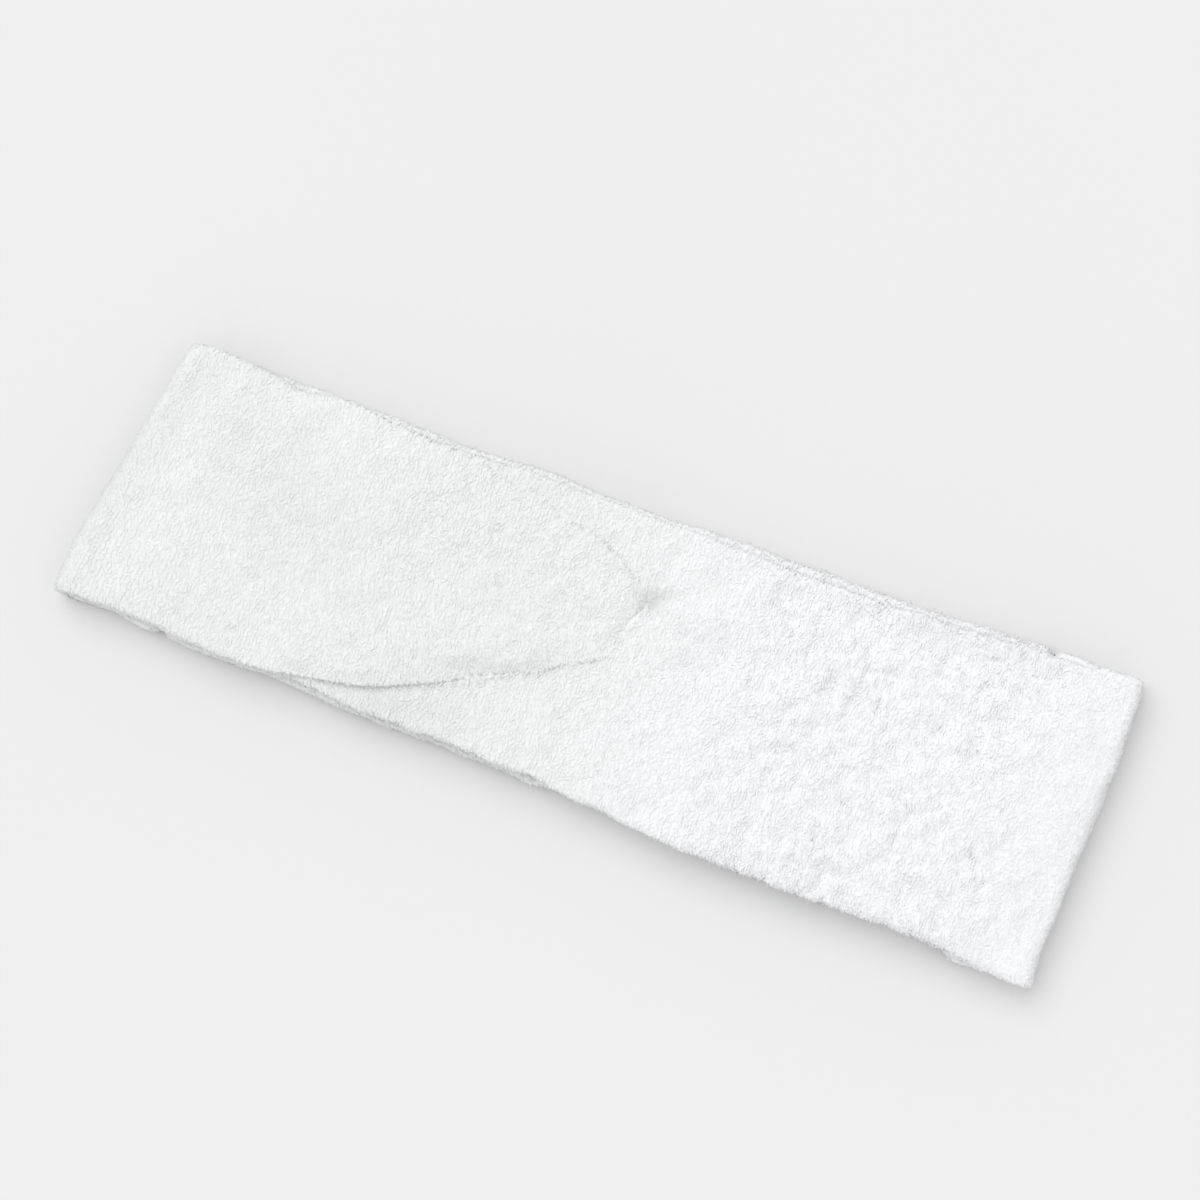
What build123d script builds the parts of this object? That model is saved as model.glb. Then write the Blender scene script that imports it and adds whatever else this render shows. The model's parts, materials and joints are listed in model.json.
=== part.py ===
"""Twist-front terry sports headband, lying flat and closed on a table.

Millimetres, +Z up. +X runs along the band's length, +Y across its width. The origin is the centre of
the footprint on the table plane. The band is a closed fabric loop: a front layer, made of two strands
linked like chain links, lies on a back layer, a gathered terry casing round a strip of elastic.
Left is -X, right is +X. The front layer is the upper one.

Each strand is one piece of fabric, split only where the loop bends or stretches: it bends at
x = +-BEND_X and at both end folds, and stretches at x = +-STRETCH_X.
"""
from build123d import *
import os

os.makedirs("parts", exist_ok=True)

# ---- Overall size ---------------------------------------------------------------------------------
HALF_LENGTH = 122.4
HALF_WIDTH_MID = 36.4      # half of the width at x = 0
TAPER = 0.0196             # growth of the half width per mm of x
BACK_TOP = 5.5             # back layer thickness
LAYER_GAP = 1.0            # slit between the layers, where the head goes
FRONT_BOTTOM = BACK_TOP + LAYER_GAP
FRONT_TOP = 12.0           # top of the right strand and of both sides
FOLD_Z = BACK_TOP + LAYER_GAP / 2    # axis height of both end folds
FOLD_R = FOLD_Z            # each rolled fold rests on the table
FOLD_X = HALF_LENGTH - FOLD_R

# ---- Splits and clearances ------------------------------------------------------------------------
BEND_X = 40.0
STRETCH_X = 80.0
JOIN_X = 100.0             # where the strands are sewn to the back panel
CUT = 0.1                  # half of the clearance between neighbouring sections
PLY_GAP = 0.2              # clearance between stacked plies
END_GAP = 0.1              # how far threads and elastic stop short of a section's end
OVER = 1.0                 # how far a cutter reaches past the surface it opens
TWIST_END = BEND_X - CUT
INNER_NEAR, INNER_FAR = BEND_X + CUT, STRETCH_X - CUT
OUTER_NEAR = STRETCH_X + CUT

# ---- Linked plies, bottom to top ------------------------------------------------------------------
RETURN_TOP = 8.2                     # left strand's return ply, from FRONT_BOTTOM
LINK_BOTTOM = RETURN_TOP + PLY_GAP   # right strand's bend, inside the left strand
LINK_TOP = 10.4
TONGUE_BOTTOM = LINK_TOP + PLY_GAP   # left strand's front ply
TONGUE_TOP = 13.0
CROWN_TOP = 13.4                     # raised patch at the tongue's tip
CROWN_SINK = 0.2                     # overlap of the crown with the tongue
LINK_END = 9.0                       # right end of the link
MAIN_START = 8.8                     # left end of the right strand's full thickness

# Eye in the right strand, and the left strand's leg passing through it
EYE_X0, EYE_X1 = 1.0, 8.0
EYE_Y0, EYE_Y1 = 3.0, 18.0
EYE_HEIGHT = 30.0
LEG_X0, LEG_X1 = EYE_X0 + PLY_GAP, EYE_X1 - PLY_GAP
LEG_Y0, LEG_Y1 = EYE_Y0 + PLY_GAP, EYE_Y1 - PLY_GAP

# ---- Closing seams: a thread in a groove ----------------------------------------------------------
SEAM_W, SEAM_H = 0.8, 0.45
SEAM_DEPTH = 0.05          # thread's distance below the surface it is let into
GROOVE_W, GROOVE_H = 1.2, 0.55
LEFT_SEAM_Y = 8.0
RIGHT_SEAM_Y = 0.0
PANEL_SEAM_Y = -26.0
LEFT_TWIST_GROOVE_END, LEFT_TWIST_SEAM_END = -2.0, -2.4
RIGHT_TWIST_GROOVE_START, RIGHT_TWIST_SEAM_START = 12.0, 12.2
SIDE_GROOVE_END, SIDE_SEAM_END = FOLD_X - 8.0, FOLD_X - 8.3

# ---- Back layer -----------------------------------------------------------------------------------
CHANNEL_HALF_W, CHANNEL_LO, CHANNEL_HI = 20.0, 2.20, 3.55
ELASTIC_HALF_W, ELASTIC_LO, ELASTIC_HI = 19.0, 2.30, 3.10
TACK_HALF_W, TACK_LO, TACK_HI = 16.0, 3.15, 3.45
TACK_NEAR, TACK_FAR = JOIN_X - 4.5, JOIN_X - 2.5
JOIN_GAP = 0.3             # from the join to the casing and to the strand's tail
JOIN_SEAM_HALF = 0.2       # half of the join seam's thickness along X
JOIN_SEAM_MARGIN_Z = 0.6   # distance of the join seam inside the faces
JOIN_SEAM_INSET = 3.0      # distance of the join seam inside the side edges
TAIL_FAR = FOLD_X - 2.5
FRONT_ROUND = 2.0          # radius on the front layer's top edges
BACK_ROUND = 1.6           # radius on the back layer's bottom edges
ROLL_TRIM = 0.8            # how much shorter than the band's width a fold is
FOLD_CUTTER_LENGTH = 120.0
RETURN_INSET = 2.0
LINK_SETBACK = 1.0         # how far the link's left end stops short of the section's

# ---- Outlines, (x, y) -----------------------------------------------------------------------------
# Tongue, counter-clockwise; its left end is added at the section's end.
TONGUE_END_LOW, TONGUE_END_HIGH = -24.2, 33.2
TONGUE_OUTLINE = [
    (-30, -19.8), (-20, -14.2), (-10, -8.0), (0, -2.2), (5, 0.8),     # low edge
    (8.4, 5.0), (8.6, 16.0),                                          # tip
    (5, 19.2), (-2, 21.4), (-10, 24.6), (-20, 27.6), (-30, 30.2),     # high edge
]
# The bed that the tongue lies in runs out past the section's end, a little wider there.
BED_OVERRUN = 3.0
BED_END_LOW, BED_END_HIGH = -25.6, 34.2
BED_HEADROOM = 5.0
CROWN_OUTLINE = [(-12, 2), (0, 0.5), (5, 2.5), (7.6, 6), (7.8, 15), (4, 18), (-12, 20)]
RETURN_OUTLINE = [
    (-TWIST_END, -31.0), (-20, -20.0), (LEG_X1, LEG_Y0),
    (LEG_X1, LEG_Y1), (-20, 27.0), (-TWIST_END, 32.5),
]


# ---- Helpers --------------------------------------------------------------------------------------
def half_w(x):
    """Half of the band's width at station x."""
    return HALF_WIDTH_MID + TAPER * x


def span(sign, near, far):
    """X range on one side of the band, from two distances from the centre."""
    return sorted((sign * near, sign * far))


def plate(points, z0, z1):
    face = make_face(Polyline(*points, close=True))
    return Pos(0, 0, z0) * extrude(face, amount=z1 - z0, dir=(0, 0, 1))


def slab(x0, x1, z0, z1, inset=0.0):
    """A piece of band between two stations, as wide as the band is there."""
    w0, w1 = half_w(x0) - inset, half_w(x1) - inset
    return plate([(x0, -w0), (x1, -w1), (x1, w1), (x0, w0)], z0, z1)


def block(x0, x1, y0, y1, z0, z1):
    return Pos((x0 + x1) / 2, (y0 + y1) / 2, (z0 + z1) / 2) * Box(x1 - x0, y1 - y0, z1 - z0)


def strip(x0, x1, y, width, z0, z1):
    """A block centred on y."""
    return block(x0, x1, y - width / 2, y + width / 2, z0, z1)


def rounded(shape, radius, level):
    """Rounds a slab's long edges at height level."""
    edges = [e for e in shape.edges()
             if abs(e.tangent_at(0.5).X) > 0.97 and abs(e.center().Z - level) < 0.5]
    # Guards the fillet: if the kernel cannot build it, the slab keeps sharp edges.
    try:
        return fillet(edges, radius)
    except Exception:
        return shape


def outward_normal(start, end):
    """Unit normal on the outer side of an edge of a counter-clockwise outline."""
    along = Vector(*end) - Vector(*start)
    return Vector(along.Y, -along.X).normalized()


def grown(points, distance):
    """Counter-clockwise outline offset outwards, with mitred corners."""
    result = []
    for i, point in enumerate(points):
        following = points[(i + 1) % len(points)]
        miter = outward_normal(points[i - 1], point) + outward_normal(point, following)
        offset = miter * (2 * distance / miter.length ** 2)
        result.append((point[0] + offset.X, point[1] + offset.Y))
    return result


def fold_roll(sign, radius, length):
    """Cylinder across the band, on the axis of an end fold."""
    return Pos(sign * FOLD_X, 0, FOLD_Z) * Rot(90, 0, 0) * Cylinder(radius, length)


def strand_groove(x0, x1, y):
    """Cutter for the seam groove in the front layer's lower face."""
    return strip(x0, x1, y, GROOVE_W, FRONT_BOTTOM - OVER, FRONT_BOTTOM + GROOVE_H)


def strand_seam(x0, x1, y):
    bottom = FRONT_BOTTOM + SEAM_DEPTH
    return strip(x0, x1, y, SEAM_W, bottom, bottom + SEAM_H)


def largest(shape):
    return max(shape.solids(), key=lambda solid: solid.volume)


def save(shape, name):
    solids = shape.solids()
    export_step(solids[0] if len(solids) == 1 else Compound(children=list(solids)),
                f"parts/{name}.step")


# ---- Front layer: twist ---------------------------------------------------------------------------
def left_strand_twist():
    """Tongue on top, leg down through the eye, and return ply underneath."""
    outline = [(-TWIST_END, TONGUE_END_LOW), *TONGUE_OUTLINE, (-TWIST_END, TONGUE_END_HIGH)]
    tongue = plate(outline, TONGUE_BOTTOM, TONGUE_TOP)
    crown = plate(CROWN_OUTLINE, TONGUE_TOP - CROWN_SINK, CROWN_TOP)
    leg = block(LEG_X0, LEG_X1, LEG_Y0, LEG_Y1, FRONT_BOTTOM, TONGUE_TOP)
    return_ply = plate(RETURN_OUTLINE, FRONT_BOTTOM, RETURN_TOP)
    strand = tongue + crown + leg + return_ply
    return strand - strand_groove(-TWIST_END - OVER, LEFT_TWIST_GROOVE_END, LEFT_SEAM_Y)


def right_strand_twist():
    """Thin link on the left, full thickness on the right, with the tongue's bed and the eye."""
    link = slab(-TWIST_END, LINK_END, LINK_BOTTOM, FRONT_TOP)
    main = slab(MAIN_START, TWIST_END, FRONT_BOTTOM, FRONT_TOP)
    bed_end = -TWIST_END - BED_OVERRUN
    outline = [(bed_end, BED_END_LOW), *TONGUE_OUTLINE, (bed_end, BED_END_HIGH)]
    bed = plate(grown(outline, PLY_GAP), LINK_TOP, CROWN_TOP + BED_HEADROOM)
    eye = block(EYE_X0, EYE_X1, EYE_Y0, EYE_Y1, 0, EYE_HEIGHT)
    strand = link + main - bed - eye
    strand -= strand_groove(RIGHT_TWIST_GROOVE_START, TWIST_END + OVER, RIGHT_SEAM_Y)
    return largest(strand)


# ---- Front layer: between bend and stretch --------------------------------------------------------
def left_strand_front():
    """Upper ply of the left strand, running into the tongue."""
    x0, x1 = -INNER_FAR, -INNER_NEAR
    outline = [
        (x0, -half_w(x0) + 2.2), (-70, -31.6), (-56, -29.4), (-50, -27.6), (x1, TONGUE_END_LOW),
        (x1, half_w(x1) - 2.2), (-60, half_w(-60) - 1.2), (x0, half_w(x0) - 0.8),
    ]
    return plate(outline, TONGUE_BOTTOM, TONGUE_TOP)


def left_strand_return():
    ply = slab(-INNER_FAR, -INNER_NEAR, FRONT_BOTTOM, RETURN_TOP, inset=RETURN_INSET)
    return ply - strand_groove(-INNER_FAR - OVER, -INNER_NEAR + OVER, LEFT_SEAM_Y)


def right_strand_link():
    """The right strand's ply between the left strand's two plies."""
    return slab(-INNER_FAR + LINK_SETBACK, -INNER_NEAR, LINK_BOTTOM, LINK_TOP)


def right_strand_front():
    strand = slab(INNER_NEAR, INNER_FAR, FRONT_BOTTOM, FRONT_TOP)
    strand = rounded(strand, FRONT_ROUND, FRONT_TOP)
    return strand - strand_groove(INNER_NEAR - OVER, INNER_FAR + OVER, RIGHT_SEAM_Y)


# ---- Front layer: from the stretch station to the end fold ----------------------------------------
def strand_side(sign, seam_y):
    """Strand with its rolled end fold."""
    front = slab(*span(sign, OUTER_NEAR, FOLD_X), FRONT_BOTTOM, FRONT_TOP)
    front = rounded(front, FRONT_ROUND, FRONT_TOP)
    roll = fold_roll(sign, FOLD_R, 2 * half_w(sign * FOLD_X) - ROLL_TRIM)
    groove = strand_groove(*span(sign, STRETCH_X - OVER, SIDE_GROOVE_END), seam_y)
    return largest(front + roll - groove)


# ---- Back layer -----------------------------------------------------------------------------------
def strand_tail(sign):
    """The strand's lower end, between the fold and the join."""
    tail = rounded(slab(*span(sign, JOIN_X + JOIN_GAP, TAIL_FAR), 0, BACK_TOP), BACK_ROUND, 0)
    return largest(tail - fold_roll(sign, FOLD_R + CUT, FOLD_CUTTER_LENGTH))


def join_seam(sign):
    return slab(*span(sign, JOIN_X - JOIN_SEAM_HALF, JOIN_X + JOIN_SEAM_HALF),
                JOIN_SEAM_MARGIN_Z, BACK_TOP - JOIN_SEAM_MARGIN_Z, inset=JOIN_SEAM_INSET)


def elastic_tack(sign):
    """Bar just above the elastic, near its end."""
    return block(*span(sign, TACK_NEAR, TACK_FAR), -TACK_HALF_W, TACK_HALF_W, TACK_LO, TACK_HI)


def casing(x0, x1):
    """Flat terry tube with a channel for the elastic and a groove for its closing seam."""
    body = rounded(slab(x0, x1, 0, BACK_TOP), BACK_ROUND, 0)
    body -= block(x0 - OVER, x1 + OVER, -CHANNEL_HALF_W, CHANNEL_HALF_W, CHANNEL_LO, CHANNEL_HI)
    body -= strip(x0 - OVER, x1 + OVER, PANEL_SEAM_Y, GROOVE_W, BACK_TOP - GROOVE_H, BACK_TOP + OVER)
    return body


def elastic(x0, x1):
    return block(x0, x1, -ELASTIC_HALF_W, ELASTIC_HALF_W, ELASTIC_LO, ELASTIC_HI)


def panel_seam(x0, x1):
    top = BACK_TOP - SEAM_DEPTH
    return strip(x0, x1, PANEL_SEAM_Y, SEAM_W, top - SEAM_H, top)


def care_label():
    """Blank tape from the left join, on the back layer's upper face."""
    return block(-JOIN_X + 0.4, -STRETCH_X - 3.0, 8.0, 20.0, BACK_TOP + 0.10, BACK_TOP + 0.55)


# ---- Build ----------------------------------------------------------------------------------------
save(left_strand_twist(), "left_strand_twist")
save(strand_seam(-TWIST_END + END_GAP, LEFT_TWIST_SEAM_END, LEFT_SEAM_Y),
     "left_strand_seam_twist")
save(right_strand_twist(), "right_strand_twist")
save(strand_seam(RIGHT_TWIST_SEAM_START, TWIST_END - END_GAP, RIGHT_SEAM_Y),
     "right_strand_seam_twist")
save(left_strand_front(), "left_strand_front")
save(left_strand_return(), "left_strand_return")
save(right_strand_link(), "right_strand_link")
save(right_strand_front(), "right_strand_front")
save(care_label(), "care_label")

for side, sign, seam_y in (("left", -1, LEFT_SEAM_Y), ("right", 1, RIGHT_SEAM_Y)):
    save(strand_seam(*span(sign, INNER_NEAR + END_GAP, INNER_FAR - END_GAP), seam_y),
         f"{side}_strand_seam_inner")
    save(strand_side(sign, seam_y), f"{side}_strand_side")
    save(strand_seam(*span(sign, OUTER_NEAR + END_GAP, SIDE_SEAM_END), seam_y),
         f"{side}_strand_seam_outer")
    save(strand_tail(sign), f"{side}_strand_tail")
    save(join_seam(sign), f"{side}_join_seam")
    save(elastic_tack(sign), f"elastic_{side}_tack")

    # place, near and far end of the casing, far-end gaps of the elastic and of the seam
    for place, near, far, elastic_gap, seam_gap in (
        (f"{side}_end", OUTER_NEAR, JOIN_X - JOIN_GAP, 0.5, 0.3),
        (side, INNER_NEAR, INNER_FAR, END_GAP, END_GAP),
        (f"centre_{side}", CUT, TWIST_END, END_GAP, END_GAP),
    ):
        save(casing(*span(sign, near, far)), f"back_panel_{place}")
        save(elastic(*span(sign, near + END_GAP, far - elastic_gap)), f"elastic_{place}")
        save(panel_seam(*span(sign, near + END_GAP, far - seam_gap)), f"back_panel_seam_{place}")
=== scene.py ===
"""Twist-front terry sports headband, lying flat, +Z up.

The band runs along X and its width along Y. The back panel lies on the table, with the
elastic over it. Two strands make the front, the upper layer. The right strand runs through
the centre; the left one crosses over it in a tongue that turns under near x = 5 and returns
to the left. Each strand rolls round its own end of the band and is sewn to the back panel.
Lengths are in mm unless noted; MM turns them into metres.
"""
import json
import math
from types import SimpleNamespace
import bpy
import numpy as np
from mathutils import Matrix, Vector

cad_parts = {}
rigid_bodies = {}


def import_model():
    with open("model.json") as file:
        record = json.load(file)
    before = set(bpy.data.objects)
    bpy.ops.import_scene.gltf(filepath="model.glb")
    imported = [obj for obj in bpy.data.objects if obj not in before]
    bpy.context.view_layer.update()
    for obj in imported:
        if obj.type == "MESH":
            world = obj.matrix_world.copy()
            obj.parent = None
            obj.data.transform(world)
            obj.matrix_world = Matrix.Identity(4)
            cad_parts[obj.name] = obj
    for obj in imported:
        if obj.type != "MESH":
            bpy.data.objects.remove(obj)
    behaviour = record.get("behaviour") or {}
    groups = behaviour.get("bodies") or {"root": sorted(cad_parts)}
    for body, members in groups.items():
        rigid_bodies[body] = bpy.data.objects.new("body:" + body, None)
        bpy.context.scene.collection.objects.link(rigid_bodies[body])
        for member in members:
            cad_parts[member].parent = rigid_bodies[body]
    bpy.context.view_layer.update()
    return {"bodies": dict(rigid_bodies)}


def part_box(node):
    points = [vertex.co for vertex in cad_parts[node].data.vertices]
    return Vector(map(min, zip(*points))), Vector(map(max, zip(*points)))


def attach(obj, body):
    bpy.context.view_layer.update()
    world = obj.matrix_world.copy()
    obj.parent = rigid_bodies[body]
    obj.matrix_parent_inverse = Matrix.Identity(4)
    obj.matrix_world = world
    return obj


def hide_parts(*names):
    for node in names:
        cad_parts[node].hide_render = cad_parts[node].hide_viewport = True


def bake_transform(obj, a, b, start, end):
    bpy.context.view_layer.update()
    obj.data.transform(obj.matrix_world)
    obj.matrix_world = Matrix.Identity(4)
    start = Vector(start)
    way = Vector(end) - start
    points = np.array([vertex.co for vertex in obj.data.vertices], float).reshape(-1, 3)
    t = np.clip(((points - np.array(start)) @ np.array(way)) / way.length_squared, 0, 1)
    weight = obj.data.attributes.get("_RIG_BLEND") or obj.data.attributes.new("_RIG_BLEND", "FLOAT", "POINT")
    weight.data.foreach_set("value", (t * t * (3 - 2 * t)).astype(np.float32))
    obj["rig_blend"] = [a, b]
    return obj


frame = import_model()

MM = 0.001
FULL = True

# ---------------------------------------------------------------- measures taken from the frame
side_min, side_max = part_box("left_strand_side")
seam_min, seam_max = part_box("left_join_seam")
elastic_min, elastic_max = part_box("elastic_left")
label_min, label_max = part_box("care_label")

FOLD_RADIUS = (side_max.z - side_min.z) / 2 / MM      # rolled ends
MID_Z = FOLD_RADIUS                                   # height between front and back layers
FOLD_X = abs(side_min.x / MM) - FOLD_RADIUS           # nominal axis of the rolled ends
JOIN_X = -(seam_min.x + seam_max.x) / 2 / MM          # seams between the strands and the back

# ---------------------------------------------------------------- design measures
BEND_START, BEND_END = 20.0, 60.0    # |x| between which the band bends; beyond, it stretches
OUTER, INNER = 11.3, 6.9             # faces of a full front layer's ground cloth
LEFT_OUTER = OUTER + 0.35            # outer face of the left strand's front
TIP_X = 5.4                          # axis of the turn at the tongue's tip
TURN_Z = (8.4 + 10.4) / 2 + 0.05
UNDER_INNER, UNDER_OUTER = 1.25, 2.45    # faces of the turned cloth, from the turn's axis
RETURN_END, LINK_END = -86.0, -79.0  # hidden ends of the left and right strands
ROLL_ARC = math.pi * 4.6             # cloth length round a rolled end
LEFT_SEED, RIGHT_SEED, BACK_SEED = 11, 31, 51    # edge waviness of each strip

# ---------------------------------------------------------------- mesh density
STEP = 1.1 if FULL else 2.2
FLAT_STEPS = int(round(72.0 / STEP))     # across one face of the band
EDGE_STEPS = 7 if FULL else 5            # round one edge
LOOP_RINGS, LOOP_SIDES = (4, 4) if FULL else (4, 3)
THREAD_SIDES = 6
PILE_PITCH = 0.87 if FULL else 2.6
INNER_PITCH = 2.0 if FULL else 4.0
FRINGE_PITCH = 1.5 if FULL else 5.0


# ---------------------------------------------------------------- noise and easing
def cell_noise(points, seed):
    """Smooth value noise in [-1, 1], one unit per cell."""
    cell = np.floor(points).astype(np.int64)
    fade = points - cell
    fade = fade * fade * fade * (fade * (fade * 6 - 15) + 10)
    total = np.zeros(len(points))
    for corner in np.ndindex(2, 2, 2):
        at = cell + corner
        hashed = (at[:, 0] * 374761393 + at[:, 1] * 668265263 + at[:, 2] * 2246822519
                  + seed * 3266489917) & 0xFFFFFFFF
        hashed = ((hashed ^ (hashed >> 13)) * 1274126177) & 0xFFFFFFFF
        hashed = ((hashed ^ (hashed >> 15)) * 2246822519) & 0xFFFFFFFF
        hashed = hashed ^ (hashed >> 16)
        share = np.where(corner, fade, 1 - fade)
        total += share[:, 0] * share[:, 1] * share[:, 2] * (hashed / 2147483647.5 - 1)
    return total


def noise(points, size, seed):
    """Noise at 3D points, with cells of the given size."""
    flat = np.asarray(points, float).reshape(-1, 3) / size
    return cell_noise(flat, seed).reshape(np.shape(points)[:-1])


def noise_along(x, size, seed):
    """Noise along one line, for a number or an array."""
    x = np.asarray(x, float)
    line = np.stack([x / size, np.full_like(x, 0.37), np.full_like(x, 0.71)], -1)
    return cell_noise(line.reshape(-1, 3), seed).reshape(x.shape)


def smooth(t):
    t = np.clip(t, 0, 1)
    return t * t * (3 - 2 * t)


def rise(x, start, over):
    """Eases from 0 at start to 1 at start + over."""
    return smooth((x - start) / over)


def fall(x, end, over):
    """Eases from 1 at end - over to 0 at end."""
    return smooth((end - x) / over)


def unit(vectors):
    length = np.linalg.norm(vectors, axis=-1, keepdims=True)
    return vectors / np.maximum(length, 1e-9)


# ---------------------------------------------------------------- plan outlines
def curve(points, soft=3.0):
    """Smoothed interpolation through pairs sorted by their first number."""
    px, py = np.array(points, float).T
    grid = np.arange(px[0] - 30, px[-1] + 30, 0.5)
    value = np.interp(grid, px, py)
    slope_in = (py[1] - py[0]) / (px[1] - px[0])
    slope_out = (py[-1] - py[-2]) / (px[-1] - px[-2])
    value = np.where(grid < px[0], py[0] + slope_in * (grid - px[0]), value)
    value = np.where(grid > px[-1], py[-1] + slope_out * (grid - px[-1]), value)
    kernel = np.exp(-0.5 * (np.arange(-30, 31) * 0.5 / soft) ** 2)
    kernel /= kernel.sum()
    smoothed = np.convolve(np.pad(value, 30, mode="edge"), kernel, mode="valid")
    return lambda x: np.interp(x, grid, smoothed)


# (x, y) along the long edges of the band
top_edge = curve([
    (-126, 34.6), (-112, 34.9), (-88, 34.4), (-68, 34.8), (-49, 34.1), (-40, 34.8),
    (-26, 35.6), (-2, 35.3), (10.6, 35.9), (40, 36.3), (59, 36.3), (75, 37.1),
    (87, 38.0), (99, 38.9), (109.6, 38.9), (124, 38.2)])
low_edge = curve([
    (-128, -32.6), (-108, -33.0), (-96, -33.9), (-85, -34.2), (-70, -33.2), (-56, -34.4),
    (-38, -34.8), (-22, -34.8), (-2, -35.6), (8, -35.8), (28, -37.5), (49, -38.4),
    (68, -38.0), (87, -37.5), (99, -38.2), (111, -39.8), (124, -39.4)])

# (y, x) along the rolled ends, by side
END_CURVES = {
    -1: curve([
        (-40, -127.6), (-32.4, -127.2), (-25.9, -127.0), (-16.5, -126.0), (-10.6, -124.9),
        (2.4, -122.4), (21.8, -119.3), (27.7, -118.2), (36, -116.4)], 2.0),
    1: curve([
        (-40, 123.2), (-33, 121.6), (-21.2, 122.2), (-7, 122.4), (4.7, 123.0),
        (14, 123.1), (27, 123.0), (40, 122.5)], 2.0),
}

# (x, y) along the edges of the left strand's tongue and of its return beneath
tongue_low = curve([
    (-110, -33.2), (-96, -34.0), (-84, -33.6), (-69.5, -31.8), (-56.5, -29.2),
    (-49, -27.7), (-40, -24.0), (-30.6, -20.2), (-22, -15.2), (-14, -11.4), (-7, -5.8),
    (-2, -3.4), (1, -1.8), (2.2, 1.6), (3.4, 6.2), (5.2, 10.6), (7, 13.8), (9, 16.2)], 0.7)
tongue_high = curve([
    (-110, 34.9), (-88, 34.3), (-68, 34.2), (-49, 33.6), (-39, 32.6), (-29, 29.6),
    (-19, 27.6), (-7, 24.0), (-1, 20.6), (4, 18.2), (9, 16.0)], 1.5)
return_low = curve([
    (-110, -31.5), (-60, -31.5), (-40, -30.0), (-20, -17.0), (-4, -0.5), (2, 6.0),
    (5.4, 12.0), (9, 15.5)], 1.2)
return_high = curve([
    (-110, 32.0), (-40, 31.5), (-20, 26.0), (2, 17.6), (9, 16.8)], 2.0)

tongue_x = np.linspace(-100, 8.3, 120)
TONGUE = np.concatenate([np.stack([tongue_x, tongue_low(tongue_x)], 1),
                         np.stack([tongue_x, tongue_high(tongue_x)], 1)[::-1]])


def tongue_distance(x, y):
    """Plan distance to the tongue's outline, negative inside it."""
    points = np.stack([np.ravel(x), np.ravel(y)], 1).astype(float)
    nearest = np.full(len(points), 1e9)
    inside = np.zeros(len(points), bool)
    for start, end in zip(TONGUE, np.roll(TONGUE, -1, 0)):
        run = end - start
        t = np.clip(((points - start) @ run) / (run @ run + 1e-12), 0, 1)
        nearest = np.minimum(nearest, np.hypot(*(points - start - t[:, None] * run).T))
        spans = (start[1] > points[:, 1]) != (end[1] > points[:, 1])
        cross_x = start[0] + (points[:, 1] - start[1]) / (run[1] + 1e-12) * run[0]
        inside ^= spans & (points[:, 0] < cross_x)
    return np.where(inside, -nearest, nearest).reshape(np.shape(x))


def soft_spot(x, y, centre, axis, reach):
    """Elliptical mask, 1 at its centre; reach is along the axis and across it."""
    length = math.hypot(*axis)
    along = ((x - centre[0]) * axis[0] + (y - centre[1]) * axis[1]) / length
    across = (-(x - centre[0]) * axis[1] + (y - centre[1]) * axis[0]) / length
    return np.exp(-0.5 * ((along / reach[0]) ** 2 + (across / reach[1]) ** 2))


def dimple(x, y):
    """Hollow at the tongue's tip."""
    return soft_spot(x, y, centre=(6.9, 14.6), axis=(0.55, 0.84), reach=(2.6, 1.9))


def fold_crease(x, y):
    """Short crease from the dimple towards lower x and y."""
    return soft_spot(x, y, centre=(3.9, 8.8), axis=(0.45, 0.89), reach=(3.4, 0.8))


def edge_wobble(x, seed):
    return float(noise_along(x, 6.0, seed) * 0.28 + noise_along(x, 2.2, seed + 1) * 0.16)


def front_low(x, seed):
    """Low edge of the front layer, drawn in over the left part."""
    inset = 1.1 * fall(x, 8, 14) * rise(x, -124, 8)
    ripple = 1 + 0.4 * float(noise_along(x, 7.0, seed + 2))
    return low_edge(x) + 0.6 + inset * ripple + edge_wobble(x, seed)


def front_high(x, seed):
    inset = 1.35 * rise(x, -96, 12) * fall(x, 112, 6)
    return top_edge(x) - 0.6 - inset + edge_wobble(x, seed + 5)


def back_low(x, seed):
    """Low edge of the back layer, which shows past the front in two places."""
    ripple = 1 + 0.5 * float(noise_along(x, 5.0, seed + 9))
    shows = (1.9 * math.exp(-0.5 * ((x - 103) / 4.5) ** 2)
             + 1.1 * fall(x, 8, 14) * rise(x, -127, 8) * ripple)
    return low_edge(x) + 1.2 - shows + edge_wobble(x, seed)


def back_high(x, seed):
    return top_edge(x) - 0.6 + edge_wobble(x, seed + 5)


# ---------------------------------------------------------------- padded strips
def section(flat, edge):
    """Closed section from the low edge over the outer face.

    across is the place over the flat width, corner the part beyond it at an edge, and face
    runs from 1 on the outer face to -1 on the inner one.
    """
    t = np.linspace(-1, 1, flat + 1)
    angle = np.linspace(0, math.pi, edge + 1)[1:-1]
    one = np.ones(len(angle))
    square = 0.68                      # a filled edge, a little squarer than a half circle
    out = np.sin(angle) ** square
    up = np.sign(np.cos(angle)) * np.abs(np.cos(angle)) ** square
    across = np.concatenate([t, one, -t, -one])
    corner = np.concatenate([0 * t, out, 0 * t, -out])
    face = np.concatenate([0 * t + 1, up, 0 * t - 1, -up])
    return across, corner, face


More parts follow.
